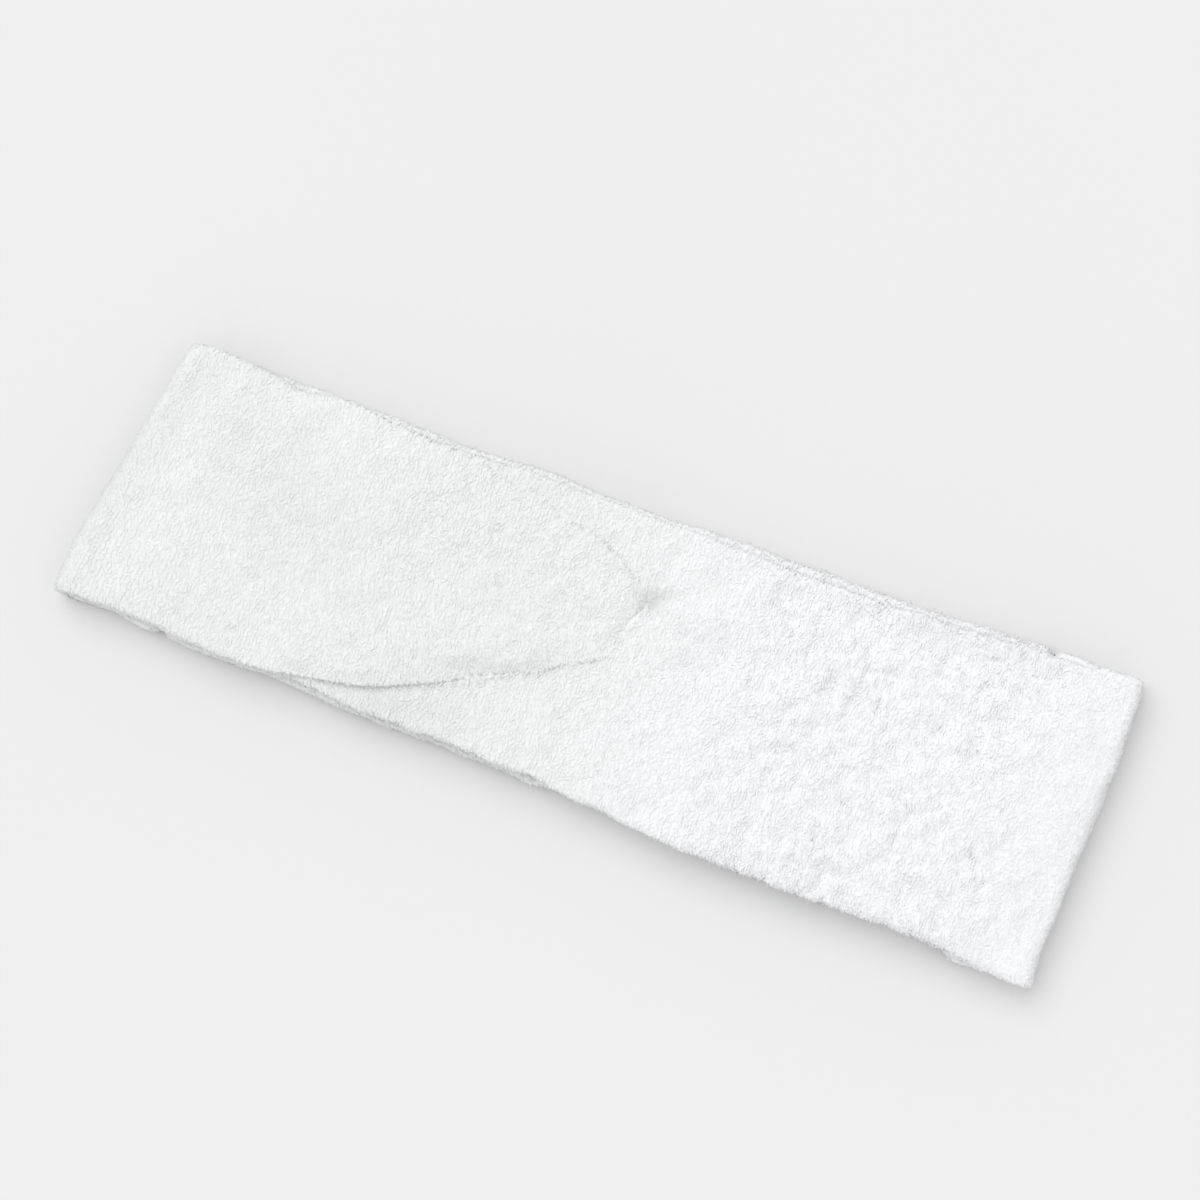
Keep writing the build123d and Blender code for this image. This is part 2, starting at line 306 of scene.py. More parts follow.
def place(rows, y, height):
    """Points in space. height is that of the front layer; a fold carries it to the back."""
    points = np.zeros(y.shape + (3,))
    radius = height - MID_Z
    for i, kind in enumerate(rows.kind):
        side, angle = rows.side[i], rows.angle[i]
        x = np.full_like(y[i], rows.x[i])
        fold_x = END_CURVES[side](y[i]) - side * FOLD_RADIUS
        join = side * JOIN_X
        if kind == "plain":            # front layer at a fixed x
            z = height[i]
        elif kind == "backplain":      # back layer at a fixed x
            z = 2 * MID_Z - height[i]
        elif kind == "front":          # from the join station to the fold
            x, z = join + rows.share[i] * (fold_x - join), height[i]
        elif kind == "fold":           # round the rolled end
            power = 0.82 if side < 0 else 0.68
            out = math.sin(angle) ** power
            up = math.copysign(abs(math.cos(angle)) ** power, math.cos(angle))
            x, z = fold_x + side * out * radius[i], MID_Z + up * radius[i]
        elif kind == "back":           # from the fold to the join, on the table
            x, z = join + rows.share[i] * (fold_x - join), MID_Z - radius[i]
        elif kind == "turn":           # round the tongue's tip
            x = TIP_X + np.sin(angle) * height[i]
            z = TURN_Z + np.cos(angle) * height[i]
        elif kind == "under":          # the return beneath the tongue
            z = TURN_Z - height[i]
        points[i, :, 0], points[i, :, 1], points[i, :, 2] = x, y[i], z
    return points


class Strip:
    """A padded strip, as stations by section columns, in mm.

    rows holds the stations' values, x is the nominal place along the band, y and height
    place a point in its layer, face is 1 outside and -1 inside, and points and normals are
    in space. shape edits the height before the points are placed.
    """

    def __init__(self, rows, shape, flat=FLAT_STEPS, edge=EDGE_STEPS):
        across, corner, face = section(flat, edge)
        low, high = rows.low[:, None], rows.high[:, None]
        half = (rows.outer - rows.inner)[:, None] / 2
        middle = (rows.outer + rows.inner)[:, None] / 2
        bent = np.where(rows.kind == "fold", np.sin(rows.angle) ** 2, 0.0)[:, None]
        edge_half = np.minimum(half * (1 - 0.55 * bent), (high - low) * 0.45)
        centre, half_width = (low + high) / 2, (high - low) / 2
        y = centre + (half_width - edge_half) * across + edge_half * corner
        crown = rows.crown[:, None] * (1 - ((y - centre) / np.maximum(half_width, 1e-6)) ** 2)
        self.rows = rows
        self.x = np.broadcast_to(rows.x[:, None], y.shape)
        self.y = y
        self.face = np.broadcast_to(face, y.shape)
        self.height = middle + half * face
        self.height = self.height + crown * np.maximum(face, 0)
        shape(self)
        self.points = place(rows, self.y, self.height)
        self.find_normals()

    def find_normals(self):
        """Outward unit normals; flip is -1 where the grid's own normals point inward."""
        round_section = np.roll(self.points, -1, 1) - np.roll(self.points, 1, 1)
        normals = unit(np.cross(np.gradient(self.points, axis=0), round_section))
        outward = self.points - self.points.mean(1, keepdims=True)
        signs = np.sign(np.median(np.sum(normals * outward, axis=2), axis=1))
        self.flip = -1 if np.median(signs) < 0 else 1
        self.normals = normals * self.flip

    def zone_range(self, zone):
        """First and last station of a zone, with the station before so that zones meet."""
        found = np.nonzero(self.rows.zone == zone)[0]
        return max(int(found[0]) - 1, 0), int(found[-1])


# ---------------------------------------------------------------- stations
# What a station has unless it says otherwise: the end of the band it belongs to, its share
# of the way from join to fold, its angle round a turn, and the rise of its middle.
STATION = dict(side=-1, share=0.0, angle=0.0, crown=0.0)


def columns(stations):
    """A list of stations as one array per value."""
    full = [STATION | entry for entry in stations]
    return SimpleNamespace(**{key: np.array([entry[key] for entry in full])
                              for key in full[0]})


def zone_xs(start, *zones):
    """Yields (zone, x) from start; each zone is its name and the x where it ends."""
    skip = 0
    for zone, end in zones:
        count = max(2, int(round(abs(end - start) / STEP)) + 1)
        for x in np.linspace(start, end, count)[skip:]:
            yield zone, x
        start, skip = end, 1


def back_xs(end):
    return zone_xs(-end, ("left_side", -BEND_END), ("left_bend", -BEND_START),
                   ("centre", BEND_START), ("right_bend", BEND_END), ("right_side", end))


HEAD, TAIL = range(12), range(-12, 0)    # stations that may need rounding at a strip's ends


def round_end(rows, stations, end_x, gap=0.0, length=2.2):
    """Rounds a strip's cut end over a length."""
    for i in stations:
        distance = abs(rows.x[i] - end_x) + gap
        if distance >= length:
            continue
        full = math.sqrt(max(1e-3, 1 - (1 - distance / length) ** 2))
        middle = (rows.inner[i] + rows.outer[i]) / 2
        half = (rows.outer[i] - rows.inner[i]) / 2 * full
        rows.inner[i], rows.outer[i] = middle - half, middle + half
        rows.low[i] += (1 - full) * 1.8
        rows.high[i] -= (1 - full) * 1.8
        rows.crown[i] *= full


def end_stations(side, seed, outer_start):
    """From the front join station round the fold to the back join station."""
    fold_x, join = side * FOLD_X, side * JOIN_X
    common = dict(zone="end", side=side, inner=INNER)
    stations = []
    count = int(round(abs(fold_x - join) / STEP))
    for i in range(1, count + 1):
        share = i / count
        x = join + share * (fold_x - join)
        stations.append(common | dict(
            kind="front", x=x, share=share, crown=0.5 * (1 - share),
            low=front_low(x, seed), high=front_high(x, seed),
            outer=outer_start + (OUTER - outer_start) * smooth(share)))
    turns = int(round(ROLL_ARC / STEP))
    for i in range(1, turns):
        angle = math.pi * i / turns
        x = fold_x + side * FOLD_RADIUS * math.sin(angle)
        inset = 0.1 * math.sin(angle) ** 4
        t = i / turns
        stations.append(common | dict(
            kind="fold", x=x, angle=angle, outer=OUTER,
            low=front_low(x, seed) * (1 - t) + back_low(x, seed) * t + inset,
            high=front_high(x, seed) * (1 - t) + back_high(x, seed) * t - inset))
    for i in range(count, -1, -1):
        share = i / count
        x = join + share * (fold_x - join)
        stations.append(common | dict(kind="back", x=x, share=share, outer=OUTER,
                                      low=back_low(x, seed), high=back_high(x, seed)))
    return stations


def left_rows():
    """The left strand: the hidden return, the turn, the tongue and front, and the end."""
    stations = []
    for zone, x in zone_xs(RETURN_END, ("return_side", -BEND_END),
                           ("return_bend", -BEND_START), ("tuck", TIP_X)):
        stations.append(dict(kind="under", zone=zone, x=x, low=return_low(x),
                             high=return_high(x), inner=UNDER_INNER, outer=UNDER_OUTER))
    turns = int(round(math.pi * 2.0 / min(STEP, 0.8)))
    for i in range(1, turns):
        t = i / turns
        angle = math.pi * (1 - t)
        pinch = 1.1 * math.sin(angle) ** 2
        low = (1 - t) * return_low(TIP_X) + t * (tongue_low(TIP_X) + 0.6)
        high = (1 - t) * return_high(TIP_X) + t * (tongue_high(TIP_X) - 0.6)
        stations.append(dict(kind="turn", zone="tuck", x=TIP_X + 2 * math.sin(angle),
                             angle=angle, low=low + pinch, high=high - pinch,
                             inner=UNDER_INNER, outer=UNDER_OUTER + 0.1 * t))
    for zone, x in zone_xs(TIP_X, ("tuck", -BEND_START), ("front_bend", -BEND_END),
                           ("front_side", -JOIN_X)):
        body = fall(x, -66, 18)        # the thin tongue thickens into the full strand
        full = fall(x, -74, 14)
        on_edge = fall(x, -74, 16)     # its outline joins the band's edges
        stations.append(dict(
            kind="plain", zone=zone, x=x, crown=0.5 * full,
            low=(tongue_low(x) + 0.55) * (1 - on_edge) + front_low(x, LEFT_SEED) * on_edge,
            high=(tongue_high(x) - 0.6) * (1 - on_edge) + front_high(x, LEFT_SEED) * on_edge,
            inner=TURN_Z + UNDER_INNER + full * (INNER - TURN_Z - UNDER_INNER),
            outer=(TURN_Z + 2.75 - 0.2 * rise(x, -8, 13)
                   + body * (LEFT_OUTER - TURN_Z - 2.75))))
    rows = columns(stations + end_stations(-1, LEFT_SEED, LEFT_OUTER))
    round_end(rows, HEAD, RETURN_END)
    round_end(rows, TAIL, -JOIN_X, gap=0.02)
    return rows


def right_rows():
    """The right strand: the hidden link left of the centre, the front and the end."""
    stations = []
    for zone, x in zone_xs(LINK_END, ("link_side", -BEND_END), ("link_bend", -BEND_START),
                           ("centre", BEND_START), ("front_bend", BEND_END),
                           ("front_side", JOIN_X)):
        stations.append(dict(
            kind="plain", zone=zone, x=x, crown=0.35 * rise(x, 20, 30),
            low=front_low(x, RIGHT_SEED), high=front_high(x, RIGHT_SEED),
            inner=8.5 + (INNER - 8.5) * rise(x, 3, 12),
            outer=10.8 + (OUTER - 10.8) * rise(x, -10, 24)))
    rows = columns(stations + end_stations(1, RIGHT_SEED, OUTER))
    round_end(rows, HEAD, LINK_END, length=3.0)
    round_end(rows, TAIL, JOIN_X, gap=0.02)
    return rows


def back_rows():
    end = JOIN_X - 0.5
    rows = columns([dict(kind="backplain", zone=zone, x=x, low=back_low(x, BACK_SEED),
                         high=back_high(x, BACK_SEED), inner=INNER, outer=OUTER)
                    for zone, x in back_xs(end)])
    round_end(rows, HEAD, -end, gap=0.02)
    round_end(rows, TAIL, end, gap=0.02)
    return rows


# ---------------------------------------------------------------- shaping of the strips
def shape_left(strip):
    x, y = strip.x, strip.y
    top = np.clip(strip.face, 0, 1)
    kind = strip.rows.kind[:, None]
    plain = kind == "plain"
    tongue = np.where(plain, rise(x, -88, 14), 0.0)

    # the tongue slopes down to both of its edges
    forward = rise(x, -60, 40)
    low_reach = 5.0 + 5.0 * forward * (1 - rise(x, -10, 10))
    slope_high = 0.80 * (1 - smooth((tongue_high(x) - y) / 7.5))
    slope_low = (0.45 + 0.12 * forward) * (1 - smooth((y - tongue_low(x)) / low_reach))
    strip.height -= top * tongue * (slope_high + slope_low)

    # its tip is lower, with the dimple and the crease
    turned = (1 + np.cos(strip.rows.angle[:, None])) / 2
    tip = np.where(plain, rise(x, -3, 9), np.where(kind == "turn", turned, 0.0))
    strip.height -= top * tip * 0.55
    over = np.where(plain, 1.0, np.where(kind == "turn", turned, 0.0))
    strip.height -= over * 1.8 * dimple(x, y)
    strip.height -= top * over * 0.95 * fold_crease(x, y)

    # a broad hollow and a broad swell on the left part
    wide = np.where(plain | (kind == "front"), 1.0, 0.0)
    strip.height -= top * wide * 0.75 * soft_spot(
        x, y, centre=(-84, 9), axis=(-0.83, 0.50), reach=(24, 8))
    strip.height += top * wide * 0.35 * soft_spot(
        x, y, centre=(-70, -18), axis=(-1.0, 0.1), reach=(26, 6))

    # long soft folds that run into the tuck
    phase = (y - 10) / (2.6 + 0.05 * np.abs(x - 6)) + 0.4 * noise_along(x, 14, 71)
    strip.height += (top * wide * tongue * 0.16 * np.sin(phase)
                     * np.exp(-np.abs(x + 4) / 22))


def shape_right(strip):
    x, y = strip.x, strip.y
    top = np.clip(strip.face, 0, 1)
    is_plain = strip.rows.kind[:, None] == "plain"
    plain = np.where(is_plain, 1.0, 0.0) * np.ones_like(x)

    # the cloth dips towards the tongue's outline and lies pressed beneath the tongue
    near = (x < 34) & (plain > 0)
    distance = np.full(x.shape, 99.0)
    distance[near] = tongue_distance(x[near], y[near])
    level = np.where(is_plain, 11.05 + (OUTER + 0.15 - 11.05) * rise(x, -5, 20), OUTER)
    above = rise(y, 11, 6) * rise(x, -26, 18)
    tip = rise(x, -7, 8)
    slope_length = 4.0 + 3.5 * above - 1.2 * rise(x, 2, 6)
    contact = 10.66 + 0.52 * rise(x, -62, 42)
    contact = contact * (1 - above) + 11.08 * above
    surface = contact + (level - contact) * smooth(distance / slope_length)
    beneath = (contact + (0.55 - 0.30 * tip) * fall(distance, 0, 0.5)
               - 1.3 * fall(distance, -1.2, 1.6))
    surface = np.where(distance < 0, beneath, surface)
    strip.height += top * np.where(near, surface - strip.rows.outer[:, None], 0.0)
    strip.height -= top * plain * 1.8 * dimple(x, y)
    thinnest = strip.rows.inner[:, None] + 0.6
    strip.height = np.where(plain * top > 0.5, np.maximum(strip.height, thinnest),
                            strip.height)

    # the cloth drawn towards the dimple: a faint lip and a fan of folds
    strip.height += top * plain * 0.06 * soft_spot(
        x, y, centre=(14.5, 14.0), axis=(0.35, 0.94), reach=(6.0, 3.2))
    angle = np.arctan2(y - 14, x - 6)
    radius = np.hypot(x - 6, y - 14)
    fan = 0.22 * np.sin(angle * 7 + 0.9) * np.exp(-((radius - 13) / 9) ** 2)
    strip.height += top * plain * np.where(x > 7, fan, 0.0)


def shape_back(strip):
    """Gathers across the panel, weaker near its long edges."""
    x, y = strip.x, strip.y
    gather = noise_along(x + 1.5 * np.sin(y / 9.0), 2.6, 91)
    strip.height += (np.where(strip.face > 0, -0.18 * (1 - gather), 0.25 * gather)
                     * (1 - 0.6 * (np.abs(y) > 22)))


# ---------------------------------------------------------------- faces of closed strips
def ring_quads(index):
    """Quads between neighbouring rows of closed rings."""
    after = np.roll(index, -1, 1)
    return np.stack([index[:-1], after[:-1], after[1:], index[1:]], -1).reshape(-1, 4)


def closed_faces(index, first_cap, last_cap, flip):
    """Quads and two end caps, all facing outward."""
    quads = ring_quads(index)
    caps = [first_cap, last_cap[::-1]]
    if flip > 0:
        quads = quads[:, ::-1]
    else:
        caps = [cap[::-1] for cap in caps]
    return quads, np.array(caps)


# ---------------------------------------------------------------- cloth simulation
CLOTH_FRAMES = 20
CLOTH_SETTINGS = dict(
    quality=6,
    mass=0.12,
    tension_stiffness=12,
    compression_stiffness=12,
    shear_stiffness=6,
    bending_stiffness=0.08,
    air_damping=2,
    use_pressure=True,
    vertex_group_mass="pin",
)


def blur(values, sigma, axis, wrap):
    reach = int(3 * sigma) + 1
    kernel = np.exp(-0.5 * (np.arange(-reach, reach + 1) / sigma) ** 2)
    kernel /= kernel.sum()
    values = np.moveaxis(values, axis, 0)
    if wrap:
        before, after = values[-reach:], values[:reach]
    else:
        before, after = np.repeat(values[:1], reach, 0), np.repeat(values[-1:], reach, 0)
    padded = np.concatenate([before, values, after])
    total = sum(kernel[i] * padded[i:i + len(values)] for i in range(2 * reach + 1))
    return np.moveaxis(total, 0, axis)


def cloth_movement(strip, pin, pressure, growth, cap):
    """Puffs and buckles a coarse copy of the strip; returns its capped movement."""
    count, around = strip.y.shape
    kept_rows = np.unique(np.concatenate([np.arange(0, count, 3), [count - 1]]))
    kept_columns = np.arange(0, around, 2)
    coarse = strip.points[kept_rows][:, kept_columns] * MM
    shape = coarse.shape[:2]
    index = np.arange(shape[0] * shape[1]).reshape(shape)
    quads, caps = closed_faces(index, index[0], index[-1], strip.flip)
    mesh = bpy.data.meshes.new("sim")
    mesh.from_pydata(coarse.reshape(-1, 3).tolist(), [], quads.tolist() + caps.tolist())
    mesh.update()
    ob = bpy.data.objects.new("sim", mesh)
    bpy.context.scene.collection.objects.link(ob)
    group = ob.vertex_groups.new(name="pin")
    pins = np.repeat(pin[kept_rows], shape[1])
    for vertex in np.nonzero(pins > 0.01)[0]:
        group.add([int(vertex)], float(pins[vertex]), "REPLACE")

    modifier = ob.modifiers.new("Cloth", "CLOTH")
    for key, value in CLOTH_SETTINGS.items():
        setattr(modifier.settings, key, value)
    modifier.settings.uniform_pressure_force = pressure
    modifier.settings.shrink_min = -growth
    modifier.settings.effector_weights.gravity = 0
    modifier.collision_settings.use_collision = False
    modifier.point_cache.frame_start = 1
    modifier.point_cache.frame_end = CLOTH_FRAMES
    scene = bpy.context.scene
    for number in range(1, CLOTH_FRAMES + 1):
        scene.frame_set(number)
    evaluated = ob.evaluated_get(bpy.context.evaluated_depsgraph_get())
    moved = np.empty(len(evaluated.data.vertices) * 3)
    evaluated.data.vertices.foreach_get("co", moved)
    movement = np.nan_to_num((moved.reshape(*shape, 3) - coarse) / MM)
    bpy.data.objects.remove(ob)
    bpy.data.meshes.remove(mesh)
    scene.frame_set(1)
    size = np.linalg.norm(movement, axis=2, keepdims=True)
    movement *= cap * np.tanh(size / cap) / np.maximum(size, 1e-9)

    # back to the fine grid: first round the section, then along the strip
    closed_columns = np.append(kept_columns, around)
    closed = np.concatenate([movement, movement[:, :1]], 1)
    half_fine = np.empty((shape[0], around, 3))
    fine = np.empty((count, around, 3))
    for c in range(3):
        for i in range(shape[0]):
            half_fine[i, :, c] = np.interp(np.arange(around), closed_columns, closed[i, :, c])
        for j in range(around):
            fine[:, j, c] = np.interp(np.arange(count), kept_rows, half_fine[:, j, c])
    return blur(blur(fine, 1.6, 0, False), 1.6, 1, True)


def settle(strip, movement):
    """Adds the movement, but lets the inner faces swell very little."""
    out = np.sum(movement * strip.normals, 2)
    limited = np.minimum(out, np.where(strip.face < -0.3, 0.15, 1.2))
    strip.points = strip.points + (movement + strip.normals * (limited - out)[..., None])


def left_pins(rows):
    """Holds the hidden part, the tongue's tip and the join to the back."""
    return np.select(
        [(rows.kind == "under") | (rows.kind == "turn"), rows.kind == "plain",
         (rows.kind == "back") & (rows.x > -104)],
        [1.0, np.clip(1 - (2 - rows.x) / 16, 0, 1), 1.0], 0.0)


def right_pins(rows):
    return np.select([rows.kind == "plain", (rows.kind == "back") & (rows.x < 104)],
                     [np.clip(1 - (rows.x - 8) / 14, 0, 1), 1.0], 0.0)


def back_pins(rows):
    return np.clip((np.abs(rows.x) - 94) / 4, 0, 1)


def roughness(strip, seed, broad, cleft, outside, inside):
    """Nubby hollows and lumps of the pile's ground, along the normals.

    broad and cleft scale the wide swells and the sharp clefts; outside and inside scale it
    all on the two faces.
    """
    points = strip.points
    x = points[..., 0]
    flattened = points * np.array([1, 1, 0.2])
    fine = 0.30 * noise(points, 3.3, seed) + 0.17 * noise(points, 1.65, seed + 1)
    wide = 0.32 * noise(flattened, 21.0, seed + 2) + 0.16 * noise(flattened, 9.0, seed + 3)
    # rougher on the right part, calmer on the left
    local = (0.80 + 0.85 * rise(x, 25, 25) * (1 - rise(x, 98, 12))
             - 0.20 * fall(x, -30, 30))
    lines = np.abs(noise(points * np.array([1.25, 0.8, 0.3]), 4.4, seed + 4))
    clefts = (np.maximum(0.0, 1 - lines / 0.22)
              * smooth((noise(points, 10.0, seed + 5) + 0.15) / 0.45))
    fine = fine - 0.42 * clefts * rise(x, 12, 30) * (1 - rise(x, 104, 8)) * cleft
    face = np.where(strip.face > -0.3, outside, inside)
    return strip.normals * ((fine * local + wide * broad) * face)[..., None]


def finish_cloth(strip, pins, simulation, rough):
    if FULL:
        settle(strip, cloth_movement(strip, pins(strip.rows), **simulation))
        strip.find_normals()
    strip.points = strip.points + roughness(strip, **rough)
    strip.points[..., 2] = np.maximum(strip.points[..., 2], 0.62)    # clear of the table
    strip.find_normals()


# ---------------------------------------------------------------- terry pile
def pile_points(strip, pitch, keep, seed):
    """Roots of the loops, in rows round the strip as terry is woven.

    keep(spot) says which roots carry a loop. row and share say where a root lies between
    two stations.
    """
    rng = np.random.default_rng(seed)
    points, rows = strip.points, strip.rows
    count, around = strip.y.shape
    steps = np.linalg.norm(np.diff(points[:, around // 4], axis=0), axis=1)
    along = np.concatenate([[0], np.cumsum(steps)])
    out = {key: [] for key in ("root", "normal", "tangent", "side", "row", "share")}
    for r in range(int(along[-1] / pitch)):
        here = (r + 0.5) * pitch
        i = min(int(np.searchsorted(along, here, "right") - 1), count - 2)
        t = (here - along[i]) / max(along[i + 1] - along[i], 1e-9)
        ring = points[i] * (1 - t) + points[i + 1] * t
        ring_normals = strip.normals[i] * (1 - t) + strip.normals[i + 1] * t
        edge = np.linalg.norm(np.roll(ring, -1, 0) - ring, axis=1)
        run = np.concatenate([[0], np.cumsum(edge)])
        n = int(run[-1] / pitch)
        if n < 4:
            continue
        jitter = rng.uniform(-0.32, 0.32, n)
        place_round = (np.arange(n) + 0.5 * (r % 2) + jitter) / n * run[-1] % run[-1]
        j = np.clip(np.searchsorted(run, place_round, "right") - 1, 0, around - 1)
        g = ((place_round - run[j]) / np.maximum(edge[j], 1e-9))[:, None]
        after = (j + 1) % around
        root = ring[j] * (1 - g) + ring[after] * g
        normal = unit(ring_normals[j] * (1 - g) + ring_normals[after] * g)
        slide = rng.uniform(-0.35, 0.35, n) * pitch
        forward = unit(points[i + 1][j] - points[i][j])
        root = root + forward * slide[:, None]
        kept = keep(SimpleNamespace(kind=rows.kind[i], angle=rows.angle[i],
                                    x=np.full(n, rows.x[i]), y=strip.y[i][j],
                                    face=strip.face[i][j]))
        if not kept.any():
            continue
        tangent = unit(forward - normal * np.sum(forward * normal, 1, keepdims=True))
        values = (root, normal, tangent, np.cross(normal, tangent),
                  np.full(n, i), np.full(n, t))
        for key, value in zip(out, values):
            out[key].append(value[kept])
    return {key: np.concatenate(value) for key, value in out.items()}


def loop_faces():
    """Quads and end faces of one yarn loop."""
    quads = []
    for i in range(LOOP_RINGS - 1):
        for j in range(LOOP_SIDES):
            ring, above, beside = i * LOOP_SIDES, (i + 1) * LOOP_SIDES, (j + 1) % LOOP_SIDES
            quads.append([ring + j, above + j, above + beside, ring + beside])
    ends = [list(range(LOOP_SIDES)),
            [LOOP_RINGS * LOOP_SIDES - 1 - q for q in range(LOOP_SIDES)]]
    return np.array(quads), np.array(ends)


LOOP_QUADS, LOOP_ENDS = loop_faces()


def loop_vertices(pile, height, width, radius, seed):
    """Vertices and normals of small yarn loops that stand on the ground cloth."""
    rng = np.random.default_rng(seed)
    n = len(pile["root"])
    normal = pile["normal"]
    heading = rng.normal(math.pi / 2 + 0.12, 0.55, n)
    plane = (pile["tangent"] * np.cos(heading)[:, None]
             + pile["side"] * np.sin(heading)[:, None])
    side = np.cross(normal, plane)
    size = rng.uniform(0.80, 1.20, n)
    lean = rng.normal(0, 0.30, n)
    x = pile["root"][:, 0]
    # taller on the right part, shorter on the left
    local = (0.78 + 0.35 * rise(x, 15, 30) * (1 - rise(x, 100, 10))
             - 0.18 * fall(x, -45, 30))
    tall = height * size * rng.uniform(0.60, 1.25, n) * local
    wide = width * size
    arc = np.linspace(-0.08, 1.08, LOOP_RINGS) * math.pi
    cos_arc, sin_arc = np.cos(arc), np.sin(arc)
    bulge = np.maximum(sin_arc, 0)
    across = 0.5 * wide[:, None] * cos_arc * (1 + 0.3 * bulge)
    up = -0.13 + tall[:, None] * sin_arc
    aside = lean[:, None] * bulge * tall[:, None]
    centre = (pile["root"][:, None] + across[..., None] * plane[:, None]
              + up[..., None] * normal[:, None] + aside[..., None] * side[:, None])
    radial = (cos_arc[None, :, None] * plane[:, None]
              + sin_arc[None, :, None] * normal[:, None])
    angle = (np.arange(LOOP_SIDES) * 2 * math.pi / LOOP_SIDES + math.pi / 2
             + (math.pi / 4 if LOOP_SIDES == 4 else 0.0))
    yarn = radius * (0.9 + 0.2 * rng.random(n))
    outward = (np.sin(angle)[None, None, :, None] * radial[:, :, None]
               + np.cos(angle)[None, None, :, None] * side[:, None, None])
    vertices = centre[:, :, None] + yarn[:, None, None, None] * outward
    # the yarn is shaded mostly as the cloth it stands on, but never against its own side
    cloth = normal[:, None, None]
    against = np.minimum(np.sum(outward * cloth, 3, keepdims=True), 0)
    shading = (outward * 0.38
               + cloth * (0.25 + 0.37 * np.sqrt(np.abs(cloth[..., 2:]))) * (1 + against))
    return vertices.reshape(-1, 3), unit(shading).reshape(-1, 3)


# ---------------------------------------------------------------- objects
def new_object(name, vertices, normals, polygons, material):
    """polygons is a list of index arrays, one for each polygon size."""
    mesh = bpy.data.meshes.new(name)
    mesh.vertices.add(len(vertices))
    mesh.vertices.foreach_set("co", (vertices * MM).astype(np.float32).ravel())
    corners = np.concatenate([group.ravel() for group in polygons]).astype(np.int32)
    starts, at = [], 0
    for group in polygons:
        starts.append(at + np.arange(len(group)) * group.shape[1])
        at += group.size
    starts = np.concatenate(starts).astype(np.int32)
    mesh.loops.add(len(corners))
    mesh.loops.foreach_set("vertex_index", corners)
    mesh.polygons.add(len(starts))
    mesh.polygons.foreach_set("loop_start", starts)
    mesh.polygons.foreach_set("use_smooth", np.ones(len(starts), bool))
    mesh.update(calc_edges=True)
    mesh.validate()
    rest = mesh.attributes.new("rest_mm", "FLOAT_VECTOR", "POINT")
    rest.data.foreach_set("vector", vertices.astype(np.float32).ravel())
    mesh.normals_split_custom_set_from_vertices(normals.astype(np.float32).tolist())
    mesh.materials.append(material)
    ob = bpy.data.objects.new(name, mesh)
    bpy.context.scene.collection.objects.link(ob)
    return ob


def hand_over(ob, bodies, weights, nodes):
    """Rides one body or blends between two, and stands in for the frame's nodes.

    The blend weights follow the cloth's own path, so that a loop keeps its shape and a fold
    unrolls evenly.
    """
    if len(bodies) == 1:
        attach(ob, bodies[0])
    else:
        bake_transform(ob, bodies[0], bodies[1], start=(0, 0, 0.1), end=(0.1, 0, 0.1))
        blend = ob.data.attributes["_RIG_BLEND"]
        blend.data.foreach_set("value", np.asarray(weights, np.float32))
    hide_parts(*nodes)


def ground_cloth(strip, first, last, weights):
    """The strip between two stations, closed at both ends by caps of their own vertices."""
    points, around = strip.points, strip.y.shape[1]
    index = np.arange((last - first + 1) * around).reshape(-1, around)
    cap = index.size + np.arange(around)
    quads, caps = closed_faces(index, cap, cap + around, strip.flip)
    facing = unit(np.stack([
        points[first].mean(0) - points[min(first + 1, last)].mean(0),
        points[last].mean(0) - points[max(last - 1, first)].mean(0)]))
    vertices = np.concatenate([points[first:last + 1].reshape(-1, 3),
                               points[first], points[last]])
    normals = np.concatenate([strip.normals[first:last + 1].reshape(-1, 3),
                              np.repeat(facing, around, 0)])
    stations = [*range(first, last + 1), first, last]
    return vertices, normals, np.repeat(weights[stations], around), quads, caps


def build_piece(strip, name, first, last, bodies, weights, material, nodes, piles=()):
    """One object from a stretch of a strip. piles: (pile points, loop size, seed)."""
    vertices, normals, blend, quads, caps = ground_cloth(strip, first, last, weights)
    all_vertices, all_normals, all_weights = [vertices], [normals], [blend]
    all_quads, ends = [quads], []
    at, per_loop = len(vertices), LOOP_RINGS * LOOP_SIDES
    for pile, size, seed in piles:
        mask = (pile["row"] >= first) & (pile["row"] < last)
        if not mask.any():
            continue
        part = {key: value[mask] for key, value in pile.items()}
        vertices, normals = loop_vertices(part, **size, seed=seed + first)
        row, share = part["row"], part["share"]
        offset = at + np.arange(len(row))[:, None, None] * per_loop
        all_quads.append((LOOP_QUADS[None] + offset).reshape(-1, 4))
        ends.append((LOOP_ENDS[None] + offset).reshape(-1, LOOP_SIDES))
        all_vertices.append(vertices)
        all_normals.append(normals)
        root_weights = weights[row] * (1 - share) + weights[row + 1] * share
        all_weights.append(np.repeat(root_weights, per_loop))
        at += len(vertices)
    polygons = [np.concatenate(all_quads)]
    if ends:
        polygons.append(np.concatenate(ends))
    polygons.append(caps)
    # nothing sinks through the table: low points are squeezed into the last 0.35 mm
    vertices = np.concatenate(all_vertices)
    z = vertices[:, 2]
    vertices[:, 2] = np.where(z < 0.35, 0.35 * np.exp(np.minimum(z - 0.35, 0) / 0.35), z)
    ob = new_object(name, vertices, np.concatenate(all_normals), polygons, material)
    hand_over(ob, bodies, np.concatenate(all_weights), nodes)


# ---------------------------------------------------------------- how the zones move
def bend_weight(x):
    return rise(x, BEND_START + 5, BEND_END - BEND_START - 10)


def stretch_weight(x):
    return rise(x, BEND_END, JOIN_X - BEND_END)


def back_bend_weight(x):
    return 1 - bend_weight(x)


def back_stretch_weight(x):
    return 1 - stretch_weight(x)


